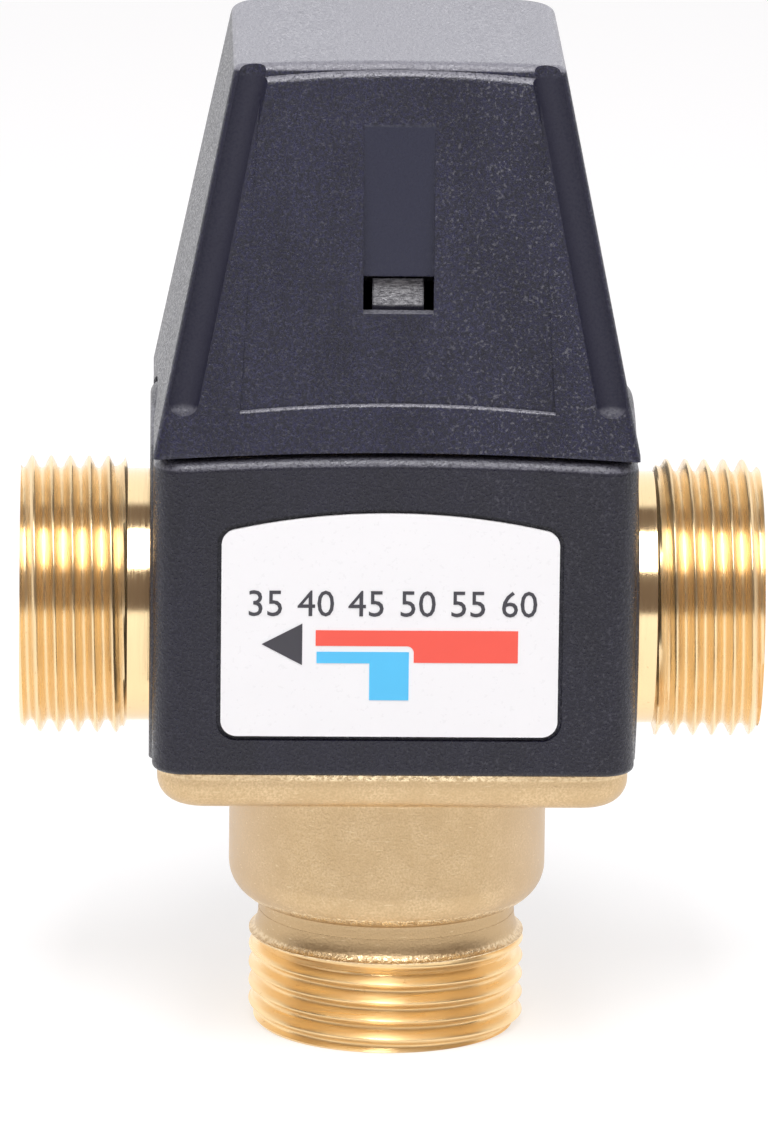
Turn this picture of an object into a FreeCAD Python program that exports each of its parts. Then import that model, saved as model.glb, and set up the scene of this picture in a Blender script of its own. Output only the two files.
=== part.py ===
import FreeCAD, Part
import math
import os
from FreeCAD import Vector

# Compact thermostatic mixing valve with three male pipe ports and a tamper cap.
# Millimetres, +Z up. The origin is the middle of the cold port's end face.
# Hot water enters on +X, cold water from below, mixed water leaves on -X.
# The front, with the flow label, faces -Y.

# ---- Pipe ports -----------------------------------------------------------------
thread_diameter = 26.441        # G 3/4 male pipe thread, over its crests
side_neck_diameter = 24.1       # plain turned neck behind each side thread
port_bore_diameter = 19.0
thread_chamfer = 1.0
bore_chamfer = 0.5
side_port_reach = 35.3          # valve axis to the end face of a side port
side_port_height = 42.0         # cold end face up to the axis of the side ports
side_thread_length = 9.8
cold_thread_length = 9.0

# ---- Forged body ----------------------------------------------------------------
cold_neck_diameter = 24.6       # as-cast waist above the cold thread
boss_diameter = 30.4
waist_top = 12.4                # where the waist starts to swell into the boss
boss_bottom = 15.9              # where the boss reaches its full diameter
swell_out_share = 0.68         # middle of the swell, as a share of its width
swell_up_share = 0.32          # and of its height
flange_flare = 1.5             # hollow between the boss and the flange
flange_half = 22.2              # square flange that the cover stands on
flange_corner = 4.5
flange_bottom = 26.4
flange_top = 30.0
flange_round = 2.5
barrel_diameter = 33.0          # round barrel inside the cover
barrel_top = 58.0

# ---- Water ways inside the body -------------------------------------------------
spring_ledge_top = 20.0
spring_ledge_thickness = 2.0
spring_ledge_hole = 13.0
cold_chamber_diameter = 21.0
cold_seat_bottom = 32.0
cold_seat_diameter = 18.0
mixed_chamber_bottom = 35.5
mixed_chamber_diameter = 25.0
hot_seat_bottom = 45.5
hot_seat_top = 47.5
hot_seat_diameter = 20.4
hot_chamber_diameter = 26.0     # also the bonnet's thread bore
side_bore_end = 15.0            # how near the side bores come to the valve axis
passage_width = 14.0
hot_passage_height = 3.4
passage_margin = 0.5            # wall left between a passage and its seat

# ---- Plastic cover around the body ----------------------------------------------
cover_half = 22.7
cover_corner = 3.2
cover_wall = 2.0
cover_edge_round = 1.1
seam_height = 61.0              # joint between cover and cap at the middle of the front
seam_drop = 0.8                 # how much lower the joint is at the corners
seam_gap = 0.45
deck_thickness = 2.0
deck_hole_clearance = 0.4
neck_slot_clearance = 0.35      # around the side necks
ear_radius = 20.5               # round ears about the side ports
ear_rise = 1.5                  # how far an ear stands above the joint
ear_stand = 0.3                 # how far an ear stands proud of the side wall
ear_round = 1.2
ear_gap = 0.35
label_recess_depth = 0.45
label_clearance = 0.4

# ---- Flow label -----------------------------------------------------------------
label_half_width = 15.8
label_offset = -0.5             # the label sits a little to the left
label_bottom = 33.9
label_side_top = 53.5
label_middle_top = 55.4
label_thickness = 0.35
label_corner = 1.5

# ---- Tamper cap -----------------------------------------------------------------
cap_headroom = 9.2              # knob's top up to the cap's top
cap_hollow_corner = 0.6
cap_rib_inset = 0.6             # corner rib in from the cover's inside
cap_top_half_x = 15.3
cap_top_half_y = 17.0
cap_front_corner = 0.9
cap_back_corner = 4.0
cap_crown = 0.35                # rise of the top from its sides to its middle
cap_edge_round = 0.9
cap_wall = 2.0
cap_roof = 2.2
flute_width = 2.9               # flute at its lower end
flute_depth = 0.7
flute_top_depth = 0.45
flute_inset = 1.7               # flute's middle in from the cap's side
flute_bottom = 66.1             # middle of the flute's round lower end
panel_bottom = 65.7
panel_bottom_half = 14.7
panel_top_margin = 0.7          # panel's upper edge under the cap's top
panel_top_half = 12.9
panel_sink = 0.45               # front panel behind the wall at its lower edge
panel_rise = 0.5                # front panel proud of the wall at its upper edge
panel_arch = 0.75
panel_ledge_round = 0.3
panel_shoulder_round = 0.9
relief_half_width = 3.3         # finger groove that runs down to the latch window
relief_top = 91.4
window_top = 77.3
window_bottom = 74.0
relief_depth = 1.05
cap_rib = 2.9
cap_rib_top = 78.0
cap_rest_gap = 0.05

# ---- Latch tongues on the cover's deck ------------------------------------------
tongue_half_width = 2.4
tongue_thickness = 1.5
tongue_gap = 0.5                # tongue to the cap's inner wall
nose_gap = 0.15                 # latch nose to the window's lower edge
nose_height = 2.8
nose_drop = 0.5                 # nose's top under the window's top edge

# ---- Bonnet ---------------------------------------------------------------------
bonnet_flange_diameter = 34.0
bonnet_flange_thickness = 2.2
bonnet_hex_width = 27.0
bonnet_hex_top = 67.6
bonnet_shoulder_diameter = 22.4
bonnet_shoulder_top = 71.0
bonnet_neck_diameter = 15.0
bonnet_neck_top = 74.0
bonnet_skirt_bottom = 53.2
bonnet_cavity_diameter = 19.4
bonnet_cavity_top = 67.6
bonnet_thread_clearance = 0.03
key_slot_reach = 10.8
key_width = 3.0
key_clearance = 0.1

# ---- Spindle and knob -----------------------------------------------------------
spindle_journal_diameter = 9.0
journal_clearance = 0.05
spindle_thread_diameter = 10.0
spindle_bottom = 59.6
collar_diameter = 13.2
collar_thickness = 1.0
collar_clearance = 0.1
spindle_flat_diameter = 8.0
spindle_flat = 3.1              # spindle's axis to its driving flat
spindle_top = 84.0
clip_thickness = 0.6
clip_clearance = 0.1
cord_diameter = 1.5             # O-ring cord
cord_groove_over = 0.1          # O-ring groove wider than its cord
bonnet_groove_step = 0.7        # skirt's foot up to the O-ring groove
spindle_groove_step = 0.8       # cavity's top up to the first spindle groove
spindle_groove_wall = 1.1       # wall between the two spindle grooves
knob_clearance = 1.9            # to the cap's inner wall at the knob's top
knob_bottom = 75.5
knob_over_spindle = 4.0         # spindle's end up to the knob's top
screw_head_stand = 0.4          # screw head over the knob's top
screw_socket_depth = 1.4
screw_hole_clearance = 0.2
screw_head_clearance = 0.3
knob_wall = 2.2
knob_web = 3.0
knob_grips = 12
knob_grip_radius = 2.2
knob_grip_depth = 0.9
knob_hub_radius = 6.0
knob_lug_clearance = 0.5        # stop lug's end to the latch tongues
knob_lug_width = 4.0
knob_lug_height = 3.0
stop_post_width = 10.0          # its sides stop the knob's lug at about 150 degrees each way
stop_post_thickness = 1.6
stop_post_clearance = 0.3       # to the bonnet's flange and to the cap's inner wall
stop_post_bend = 70.5           # where the post leans in over the bonnet
stop_post_inner = 14.6
stop_post_head = 5.2
screw_diameter = 4.0
screw_head_diameter = 7.6
screw_head_height = 2.4
screw_length = 9.0
screw_socket = 2.5

# ---- Travelling carriage and overload spring ------------------------------------
carriage_clearance = 0.1
carriage_bottom = 53.8
carriage_roof_bottom = 64.2
carriage_top = 65.6
carriage_inner_diameter = 16.4
carriage_boss_diameter = 12.6
carriage_boss_bottom = 59.4
thread_clearance = 0.05
key_reach = 10.6
cup_bottom = 55.6
cup_thickness = 1.4
cup_hub_height = 0.5
cup_clearance = 0.1
carriage_clip_thickness = 0.7
carriage_clip_depth = 0.6
carriage_clip_inner = 13.0
overload_wire = 1.3
overload_turns = 4.25

# ---- Thermostatic element and shuttle -------------------------------------------
shuttle_land_diameter = 17.8
shuttle_land_bottom = 27.6
shuttle_land_top = 30.6
shuttle_stem_diameter = 13.0
shuttle_stem_bore = 10.6
shuttle_stem_floor = 35.0
shuttle_window_bottom = 37.0
shuttle_window_top = 45.5
shuttle_window_width = 6.0
shuttle_disc_diameter = 23.2
shuttle_disc_top = 51.5
hot_opening = 1.6               # seal ring above the hot seat
seal_thickness = 1.0
seal_width = 2.0
capsule_diameter = 10.0
capsule_bottom = 37.0
capsule_flange_diameter = 12.8
capsule_flange_seat = 1.2       # how deep the flange sits in the disc
capsule_flange_thickness = 2.0
capsule_guide_diameter = 6.4
capsule_guide_top = 54.4
piston_diameter = 3.0
piston_clearance = 0.05
piston_bottom = 47.0
return_wire = 1.2
return_turns = 4.25
return_spring_diameter = 15.0
return_seat_depth = 0.6
coil_steps = 16                 # flat faces along one turn of a spring
coil_sides = 10                 # flat faces round a spring's wire

# ---- Sizes worked out from the ones above ---------------------------------------
thread_radius = thread_diameter / 2
bore_radius = port_bore_diameter / 2
cover_top_limit = seam_height + ear_rise
knob_top = spindle_top + knob_over_spindle
cap_top = knob_top + cap_headroom
panel_top = cap_top - panel_top_margin
seam_radius = ((cover_half ** 2) / seam_drop + seam_drop) / 2
deck_bottom = barrel_top
deck_top = deck_bottom + deck_thickness
cover_inner_half = cover_half - cover_wall
cap_slope_x = (cover_half - cap_top_half_x) / (cap_top - seam_height)
cap_slope_y = (cover_half - cap_top_half_y) / (cap_top - seam_height)
bonnet_flange_top = deck_top + bonnet_flange_thickness
journal_bore_radius = spindle_journal_diameter / 2 + journal_clearance
carriage_radius = bonnet_cavity_diameter / 2 - carriage_clearance
collar_top = bonnet_cavity_top - collar_clearance
collar_bottom = collar_top - collar_thickness
cup_top = cup_bottom + cup_thickness
knob_radius = cover_half - cap_slope_x * (knob_top - seam_height) - cap_wall - knob_clearance
tongue_set_in = tongue_gap + cap_wall + tongue_thickness
tongue_top = window_top - nose_drop
knob_lug_reach = (cover_half - cap_slope_y * (tongue_top - seam_height)
                  - tongue_set_in - knob_lug_clearance)
seal_inner_diameter = shuttle_disc_diameter - 2 * seal_width
seal_bottom = hot_seat_top + hot_opening
disc_bottom = seal_bottom + seal_thickness
capsule_flange_bottom = shuttle_disc_top - capsule_flange_seat
capsule_flange_top = capsule_flange_bottom + capsule_flange_thickness


# ---- Helpers --------------------------------------------------------------------
def save(name, shape):
    shape.exportStep("parts/" + name + ".step")


def join(*shapes):
    return shapes[0].multiFuse(list(shapes[1:])).removeSplitter()


def turned(outline):
    """Turned solid from a closed outline of (radius, height) points."""
    corners = [Vector(radius, 0, height) for radius, height in outline]
    face = Part.Face(Part.makePolygon(corners + corners[:1]))
    return face.revolve(Vector(0, 0, 0), Vector(0, 0, 1), 360)


def drum(radius, low, high):
    return Part.makeCylinder(radius, high - low, Vector(0, 0, low))


def tube(outer, inner, low, high):
    return turned([(inner, low), (outer, low), (outer, high), (inner, high)])


def block(low_x, high_x, low_y, high_y, low_z, high_z):
    corner = Vector(low_x, low_y, low_z)
    return Part.makeBox(high_x - low_x, high_y - low_y, high_z - low_z, corner)


def rounded_block(half, corner, low, high):
    """Upright square block with round corners."""
    solid = block(-half, half, -half, half, low, high)
    upright = [edge for edge in solid.Edges if edge.BoundBox.ZLength > 0.5 * (high - low)]
    return solid.makeFillet(corner, upright)


def laid_on_x(shape, side):
    """Lay an upright turned solid down, so that its Z runs outwards along a side port."""
    laid = shape.copy()
    laid.rotate(Vector(0, 0, 0), Vector(0, 1, 0), 90 * side)
    laid.translate(Vector(0, 0, side_port_height))
    return laid


def prism_y(outline, low_y, high_y):
    """Prism along Y from an outline of (x, z) points."""
    corners = [Vector(x, low_y, z) for x, z in outline]
    face = Part.Face(Part.makePolygon(corners + corners[:1]))
    return face.extrude(Vector(0, high_y - low_y, 0))


def prism_x(outline, low_x, high_x):
    """Prism along X from an outline of (y, z) points."""
    corners = [Vector(low_x, y, z) for y, z in outline]
    face = Part.Face(Part.makePolygon(corners + corners[:1]))
    return face.extrude(Vector(high_x - low_x, 0, 0))


def under_seam(offset):
    """Everything below the arched joint surface, raised by an offset."""
    middle = Vector(0, -cover_half - 10, seam_height + offset - seam_radius)
    return Part.makeCylinder(seam_radius, 2 * cover_half + 20, middle, Vector(0, 1, 0))


def mirrored_front_to_back(shape):
    return shape.mirror(Vector(0, 0, 0), Vector(0, 1, 0))


def coil(mean_radius, wire, turns, low, high):
    """Compression spring between two heights, with ground flat ends and a many-sided wire."""
    sections = []
    steps = int(coil_steps * turns)
    for step in range(steps + 1):
        angle = 2 * math.pi * turns * step / steps
        height = low + (high - low) * step / steps
        rim = []
        for side in range(coil_sides):
            lean = 2 * math.pi * side / coil_sides
            radius = mean_radius + wire / 2 * math.cos(lean)
            rim.append(Vector(radius * math.cos(angle), radius * math.sin(angle),
                              height + wire / 2 * math.sin(lean)))
        sections.append(Part.makePolygon(rim + rim[:1]))
    wound = Part.makeLoft(sections, True, True)
    reach = mean_radius + 2 * wire
    return wound.common(block(-reach, reach, -reach, reach, low, high))


# ---- Brass body -----------------------------------------------------------------
def cold_end():
    """Cold port, waist, boss and the flare under the flange, turned as one outline."""
    chamfered = thread_radius - thread_chamfer
    neck = cold_neck_diameter / 2
    boss = boss_diameter / 2
    runout = cold_thread_length + thread_radius - neck
    swell = Part.Arc(
        Vector(neck, 0, waist_top),
        Vector(neck + swell_out_share * (boss - neck), 0,
               waist_top + swell_up_share * (boss_bottom - waist_top)),
        Vector(boss, 0, boss_bottom))
    flare = flange_flare
    flare_mid = flare * (1 - math.sqrt(0.5))
    under_flange = Part.Arc(
        Vector(boss, 0, flange_bottom - flare),
        Vector(boss + flare_mid, 0, flange_bottom - flare_mid),
        Vector(boss + flare, 0, flange_bottom))
    lower = [Vector(0, 0, 0), Vector(chamfered, 0, 0), Vector(thread_radius, 0, thread_chamfer),
             Vector(thread_radius, 0, cold_thread_length), Vector(neck, 0, runout),
             Vector(neck, 0, waist_top)]
    upper = [Vector(boss + flare, 0, flange_bottom), Vector(boss + flare, 0, flange_top),
             Vector(0, 0, flange_top), Vector(0, 0, 0)]
    edges = Part.makePolygon(lower).Edges + [swell.toShape()]
    edges.append(Part.makeLine(Vector(boss, 0, boss_bottom), Vector(boss, 0, flange_bottom - flare)))
    edges += [under_flange.toShape()] + Part.makePolygon(upper).Edges
    face = Part.Face(Part.Wire(edges))
    return face.revolve(Vector(0, 0, 0), Vector(0, 0, 1), 360)


def flange():
    plate = rounded_block(flange_half, flange_corner, flange_bottom, flange_top)
    lower_edges = [edge for edge in plate.Edges if edge.BoundBox.ZMax < flange_bottom + 0.1]
    return plate.makeFillet(flange_round, lower_edges)


def side_port(side):
    """Neck and threaded end of one side port, over the thread's crests."""
    neck = side_neck_diameter / 2
    thread_start = side_port_reach - side_thread_length
    outline = [(0, 0), (neck, 0), (neck, thread_start), (thread_radius, thread_start + 0.6),
               (thread_radius, side_port_reach - thread_chamfer),
               (thread_radius - thread_chamfer, side_port_reach), (0, side_port_reach)]
    return laid_on_x(turned(outline), side)


def port_bore(depth_from, reach):
    """Bore of a port with its countersunk mouth, pointing up."""
    mouth = reach - bore_chamfer
    over = reach + 1
    flared = bore_radius + bore_chamfer + 1
    return turned([(0, depth_from), (bore_radius, depth_from), (bore_radius, mouth),
                   (flared, over), (0, over)])


def axial_bores():
    """Stepped bores on the valve axis, from the cold port up to the bonnet's thread."""
    steps = [
        (spring_ledge_hole / 2, spring_ledge_top - spring_ledge_thickness - 1, spring_ledge_top + 1),
        (cold_chamber_diameter / 2, spring_ledge_top, cold_seat_bottom),
        (cold_seat_diameter / 2, cold_seat_bottom - 1, mixed_chamber_bottom + 1),
        (mixed_chamber_diameter / 2, mixed_chamber_bottom, hot_seat_bottom),
        (hot_seat_diameter / 2, hot_seat_bottom - 1, hot_seat_top + 1),
        (hot_chamber_diameter / 2, hot_seat_top, barrel_top + 1)]
    cuts = [drum(radius, low, high) for radius, low, high in steps]
    cold_depth = spring_ledge_top - spring_ledge_thickness
    cold_bore = turned([(0, -1), (bore_radius + bore_chamfer + 1, -1), (bore_radius, bore_chamfer),
                        (bore_radius, cold_depth), (0, cold_depth)])
    return join(cold_bore, *cuts)


def passages():
    """Windows between the side bores and their own chambers."""
    half = passage_width / 2
    mixed = block(-side_bore_end - 1, 0, -half, half,
                  mixed_chamber_bottom + 2 * passage_margin, hot_seat_bottom - 2 * passage_margin)
    hot_low = hot_seat_top + passage_margin
    hot = block(0, side_bore_end + 1, -half, half, hot_low, hot_low + hot_passage_height)
    return [mixed, hot]


def valve_body():
    barrel = drum(barrel_diameter / 2, flange_bottom, barrel_top)
    solid = join(cold_end(), flange(), barrel, side_port(1), side_port(-1))
    side_bore = port_bore(side_bore_end, side_port_reach)
    cuts = [axial_bores(), laid_on_x(side_bore, 1), laid_on_x(side_bore, -1)] + passages()
    for cut in cuts:
        solid = solid.cut(cut)
    return solid


# ---- Cover and cap walls --------------------------------------------------------
def cap_half_x(height):
    return cover_half - cap_slope_x * (height - seam_height)


def cap_half_y(height):
    return cover_half - cap_slope_y * (height - seam_height)


def ear_disc(radius, inner, outer):
    """Disc on the X direction whose rim is the arch over the side ports."""
    middle = Vector(inner, 0, seam_height + ear_rise - ear_radius)
    return Part.makeCylinder(radius, outer - inner, middle, Vector(1, 0, 0))


def cover_ear(side):
    """Arched ear that carries the side wall up over a side port."""
    outer = cover_half + ear_stand
    disc = ear_disc(ear_radius, cover_inner_half - cover_wall / 2, outer)
    rim = [edge for edge in disc.Edges if edge.BoundBox.XMin > outer - 0.1]
    disc = disc.makeFillet(ear_round, rim)
    ear = disc.common(block(0, outer + 1, -ear_radius, ear_radius, flange_top, cover_top_limit + 1))
    return ear if side > 0 else ear.mirror(Vector(0, 0, 0), Vector(1, 0, 0))


def cover_walls():
    """Outer form of the cover up to the arched joint, with its edges rounded."""
    full = rounded_block(cover_half, cover_corner, flange_top, seam_height + 5)
    solid = full.common(under_seam(-seam_gap / 2))
    upper = [edge for edge in solid.Edges if edge.BoundBox.ZMin > seam_height - seam_drop - 1]
    solid = solid.makeFillet(cover_edge_round, upper)
    lower = [edge for edge in solid.Edges if edge.BoundBox.ZMax < flange_top + 0.1]
    return solid.makeFillet(0.6, lower)


def label_outline(grow, low_y, high_y):
    """Arch-topped plate: the label itself, or the recess that it lies in."""
    half = label_half_width + grow
    side = label_side_top + grow
    crown = label_middle_top + grow
    foot = label_bottom - grow
    arch = Part.Arc(Vector(-half, low_y, side), Vector(0, low_y, crown), Vector(half, low_y, side))
    lines = Part.makePolygon([Vector(half, low_y, side), Vector(half, low_y, foot),
                              Vector(-half, low_y, foot), Vector(-half, low_y, side)])
    face = Part.Face(Part.Wire([arch.toShape()] + lines.Edges))
    plate = face.extrude(Vector(0, high_y - low_y, 0))
    corners = [edge for edge in plate.Edges if edge.BoundBox.YLength > 0.9 * (high_y - low_y)]
    plate = plate.makeFillet(label_corner + grow, corners)
    plate.translate(Vector(label_offset, 0, 0))
    return plate


def latch_tongue():
    """Front latch: a sloping tongue on the deck with a ramped nose behind the window."""
    top = tongue_top
    back = tongue_set_in

    def inner(height, inset):
        return -cap_half_y(height) + inset

    nose_low = top - nose_height
    catch = inner(window_bottom, cap_wall + nose_gap)
    outline = [(inner(deck_bottom, back), deck_bottom), (inner(top, back), top),
               (inner(top, cap_wall + tongue_gap), top), (catch, nose_low + 0.5),
               (catch, nose_low), (inner(nose_low, cap_wall + tongue_gap), nose_low),
               (inner(deck_bottom, cap_wall + tongue_gap), deck_bottom)]
    return prism_x(outline, -tongue_half_width, tongue_half_width)


def lower_cover():
    """Plastic cover with its deck, side ears, latch tongues and knob stop."""
    solid = join(cover_walls(), cover_ear(1), cover_ear(-1))
    hollow = rounded_block(cover_inner_half, cover_corner - cover_wall + 0.3, flange_top - 1, deck_bottom)
    above = rounded_block(cover_inner_half, cover_corner - cover_wall + 0.3, deck_top, cover_top_limit + 2)
    deck_hole = drum(hot_chamber_diameter / 2 + deck_hole_clearance, deck_bottom - 1, deck_top + 1)
    solid = solid.cut(hollow).cut(above).cut(deck_hole)
    slot_radius = side_neck_diameter / 2 + neck_slot_clearance
    for side in (1, -1):
        solid = solid.cut(laid_on_x(drum(slot_radius, cover_inner_half - 3, cover_half + 5), side))
        low, high = sorted((side * (cover_inner_half - 3), side * (cover_half + 5)))
        solid = solid.cut(block(low, high, -slot_radius, slot_radius, flange_top - 1, side_port_height))
    recess = label_outline(label_clearance, -cover_half - 1, -cover_half + label_recess_depth)
    solid = solid.cut(recess)
    tongue = latch_tongue()
    return join(solid, tongue, mirrored_front_to_back(tongue), knob_stop_post())


def knob_stop_post():
    """Post on the deck's -X side that the knob's lug runs against at either end of its turn."""
    foot = bonnet_flange_diameter / 2 + stop_post_clearance
    head_low = knob_bottom - 1.6
    head_high = head_low + stop_post_head
    head_outer = cap_half_x(head_high) - cap_wall - stop_post_clearance
    bend_outer = min(foot + stop_post_thickness, cap_half_x(stop_post_bend) - cap_wall - stop_post_clearance)
    outline = [(-foot - stop_post_thickness, deck_bottom), (-foot, deck_bottom), (-foot, stop_post_bend),
               (-stop_post_inner, head_low), (-stop_post_inner, head_high), (-head_outer, head_high),
               (-bend_outer, stop_post_bend)]
    return prism_y(outline, -stop_post_width / 2, stop_post_width / 2)


def flow_label():
    floor = -cover_half + label_recess_depth
    return label_outline(0, floor - label_thickness, floor)


# ---- Cap ------------------------------------------------------------------------
def tapered_block(inset, low, high, front_corner, back_corner):
    """Four-sided taper that follows the cap's walls, set in by an inset."""
    across = [(-cap_half_x(low) + inset, low), (cap_half_x(low) - inset, low),
              (cap_half_x(high) - inset, high), (-cap_half_x(high) + inset, high)]
    along = [(-cap_half_y(low) + inset, low), (cap_half_y(low) - inset, low),
             (cap_half_y(high) - inset, high), (-cap_half_y(high) + inset, high)]
    reach = cover_half + 10
    solid = prism_y(across, -reach, reach).common(prism_x(along, -reach, reach))
    slanting = [edge for edge in solid.Edges if edge.BoundBox.ZLength > 0.9 * (high - low)]
    front = [edge for edge in slanting if edge.BoundBox.YMax < 0]
    back = [edge for edge in slanting if edge.BoundBox.YMin > 0]
    solid = solid.makeFillet(front_corner, front)
    back = [edge for edge in solid.Edges if edge.BoundBox.YMin > 0 and edge.BoundBox.ZLength > 0.9 * (high - low)
            and edge.BoundBox.XLength > 0.5]
    return solid.makeFillet(back_corner, back)


def crowned(solid, top, low):
    """Cut a block's top to the shallow crown that runs from side to side."""
    radius = (cap_top_half_x ** 2 / cap_crown + cap_crown) / 2
    middle = Vector(0, -cover_half - 5, top - radius)
    crown = Part.makeCylinder(radius, 2 * cover_half + 10, middle, Vector(0, 1, 0))
    keep = crown.common(block(-cover_half, cover_half, -cover_half, cover_half, low, top + 1))
    return solid.common(keep)


def cap_body():
    solid = crowned(tapered_block(0, seam_height - 3, cap_top + 1, cap_front_corner, cap_back_corner),
                    cap_top, seam_height - 4)
    rim = [edge for edge in solid.Edges if edge.BoundBox.ZMin > cap_top - cap_crown - 0.6]
    return solid.makeFillet(cap_edge_round, rim)


def flute(side):
    """Concave flute down a front corner: round at its lower end, shallower towards the top."""
    radius = (flute_width ** 2 / 4 + flute_depth ** 2) / (2 * flute_depth)

    def middle(height, depth):
        stand_off = radius - depth
        return Vector(side * (cap_half_x(height) - flute_inset), -cap_half_y(height) - stand_off, height)

    start = middle(flute_bottom, flute_depth)
    run = middle(cap_top + 2, flute_top_depth) - start
    return join(Part.makeCylinder(radius, run.Length, start, run), Part.makeSphere(radius, start))


def panel_zone():
    """Upright prism over the front panel's outline, with arched lower and upper edges."""
    corner_low = panel_bottom - panel_arch
    corner_high = panel_top - panel_arch
    low = Part.Arc(Vector(-panel_bottom_half, 0, corner_low), Vector(0, 0, panel_bottom),
                   Vector(panel_bottom_half, 0, corner_low)).toShape()
    high = Part.Arc(Vector(panel_top_half, 0, corner_high), Vector(0, 0, panel_top),
                    Vector(-panel_top_half, 0, corner_high)).toShape()
    right = Part.makeLine(Vector(panel_bottom_half, 0, corner_low), Vector(panel_top_half, 0, corner_high))
    left = Part.makeLine(Vector(-panel_top_half, 0, corner_high), Vector(-panel_bottom_half, 0, corner_low))
    zone = Part.Face(Part.Wire([low, right, high, left])).extrude(Vector(0, -cover_half - 5, 0))
    return zone.cut(block(-cover_half, cover_half, -cap_top_half_y + cap_wall / 2, 1, 0, cap_top + 5))


def panel_y(height):
    """Depth of the front panel's face, which stands steeper than the wall around it."""
    low_y = -cap_half_y(panel_bottom) + panel_sink
    high_y = -cap_half_y(panel_top) - panel_rise
    return low_y + (high_y - low_y) * (height - panel_bottom) / (panel_top - panel_bottom)


def front_panel(solid):
    """Steeper front panel: sunk at its lower edge, proud at its upper edge."""
    zone = panel_zone()
    foot = panel_bottom - 5
    behind = prism_x([(panel_y(foot), foot), (panel_y(panel_top), panel_top), (0, panel_top), (0, foot)],
                     -cover_half, cover_half)
    pad = zone.common(behind)
    shoulder = [edge for edge in pad.Edges if edge.BoundBox.ZMin > panel_top - panel_arch - 0.1
                and edge.BoundBox.YMax < panel_y(panel_top) + 0.3 and edge.BoundBox.XLength > panel_top_half]
    pad = pad.makeFillet(panel_shoulder_round, shoulder)
    framed = solid.cut(zone)
    wall_y = -cap_half_y(panel_bottom)
    ledge = [edge for edge in framed.Edges if edge.BoundBox.XLength > 1.9 * panel_bottom_half
             and edge.BoundBox.ZMax < panel_bottom + 0.2 and edge.BoundBox.ZMin > panel_bottom - 2 * panel_arch
             and edge.BoundBox.YMax < wall_y + 0.2]
    framed = framed.makeFillet(panel_ledge_round, ledge)
    return framed.fuse(pad).removeSplitter()


def relief_and_window():
    """Finger groove that deepens down to the latch window, and the window itself."""
    groove = prism_x([(panel_y(relief_top), relief_top),
                      (-cap_half_y(window_top) + relief_depth, window_top),
                      (-cover_half - 5, window_top), (-cover_half - 5, relief_top)],
                     -relief_half_width, relief_half_width)
    window = block(-relief_half_width, relief_half_width, -cover_half - 1, 0, window_bottom, window_top)
    return join(groove, window)


def cap_rib_post(side_x, side_y):
    """Corner rib that stands on the cover's deck."""
    far = cover_inner_half - cap_rib_inset
    near = far - cap_rib
    low_x, high_x = sorted((side_x * near, side_x * far))
    low_y, high_y = sorted((side_y * near, side_y * far))
    return block(low_x, high_x, low_y, high_y, deck_top + cap_rest_gap, cap_rib_top)


def cap():
    solid = cap_body()
    envelope = tapered_block(0.2, deck_top - 1, cap_top - cap_roof, cap_front_corner, cap_back_corner)
    solid = front_panel(solid)
    hollow = tapered_block(cap_wall, seam_height - 5, cap_top, cap_hollow_corner, cap_back_corner - cap_wall)
    hollow = crowned(hollow, cap_top - cap_roof, seam_height - 6)
    solid = solid.cut(hollow).cut(under_seam(seam_gap / 2))
    for side in (1, -1):
        gap = ear_disc(ear_radius + ear_gap, cap_half_x(cover_top_limit) - 2 * cap_wall, cover_half + 2)
        if side < 0:
            gap = gap.mirror(Vector(0, 0, 0), Vector(1, 0, 0))
        solid = solid.cut(gap)
    opening = relief_and_window()
    solid = solid.cut(opening).cut(mirrored_front_to_back(opening))
    ribs = [cap_rib_post(x, y).common(envelope) for x in (1, -1) for y in (1, -1)]
    solid = join(solid, *ribs)
    return solid.cut(flute(1)).cut(flute(-1))


# ---- Bonnet ---------------------------------------------------------------------
def bonnet():
    """Brass bonnet screwed into the body; its flange clamps the cover's deck."""
    skirt = hot_chamber_diameter / 2 - bonnet_thread_clearance
    solid = join(drum(skirt, bonnet_skirt_bottom, deck_top + 0.1),
                 drum(bonnet_flange_diameter / 2, deck_top, bonnet_flange_top),
                 hexagon(bonnet_hex_width, bonnet_flange_top, bonnet_hex_top),
                 drum(bonnet_shoulder_diameter / 2, bonnet_hex_top, bonnet_shoulder_top),
                 drum(bonnet_neck_diameter / 2, bonnet_shoulder_top, bonnet_neck_top))
    solid = solid.cut(drum(bonnet_cavity_diameter / 2, bonnet_skirt_bottom - 1, bonnet_cavity_top))
    solid = solid.cut(drum(journal_bore_radius, bonnet_cavity_top - 1, bonnet_neck_top + 1))
    slot = key_width / 2 + key_clearance
    for side in (1, -1):
        low, high = sorted((0, side * key_slot_reach))
        solid = solid.cut(block(-slot, slot, low, high, bonnet_skirt_bottom - 1, bonnet_cavity_top - 0.2))
    groove_low, groove_high = bonnet_groove()
    return solid.cut(tube(skirt + 1, skirt - cord_diameter, groove_low, groove_high))


def bonnet_groove():
    low = bonnet_skirt_bottom + bonnet_groove_step
    return low, low + cord_diameter + 2 * cord_groove_over


def hexagon(width, low, high):
    """Hexagonal prism by its width across flats, with a chamfered top."""
    corner = width / math.sqrt(3)
    points = []
    for step in range(7):
        angle = math.radians(60 * step)
        points.append(Vector(corner * math.cos(angle), corner * math.sin(angle), low))
    prism = Part.Face(Part.makePolygon(points)).extrude(Vector(0, 0, high - low))
    chamfer = corner - width / 2
    keep = turned([(0, low), (corner, low), (corner, high - 0.6 * chamfer), (width / 2, high), (0, high)])
    return prism.common(keep)


def cord_ring(outer_radius, middle_height):
    """O-ring whose outside touches a radius."""
    radius = cord_diameter / 2
    return Part.makeTorus(outer_radius - radius, radius, Vector(0, 0, middle_height))


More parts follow.
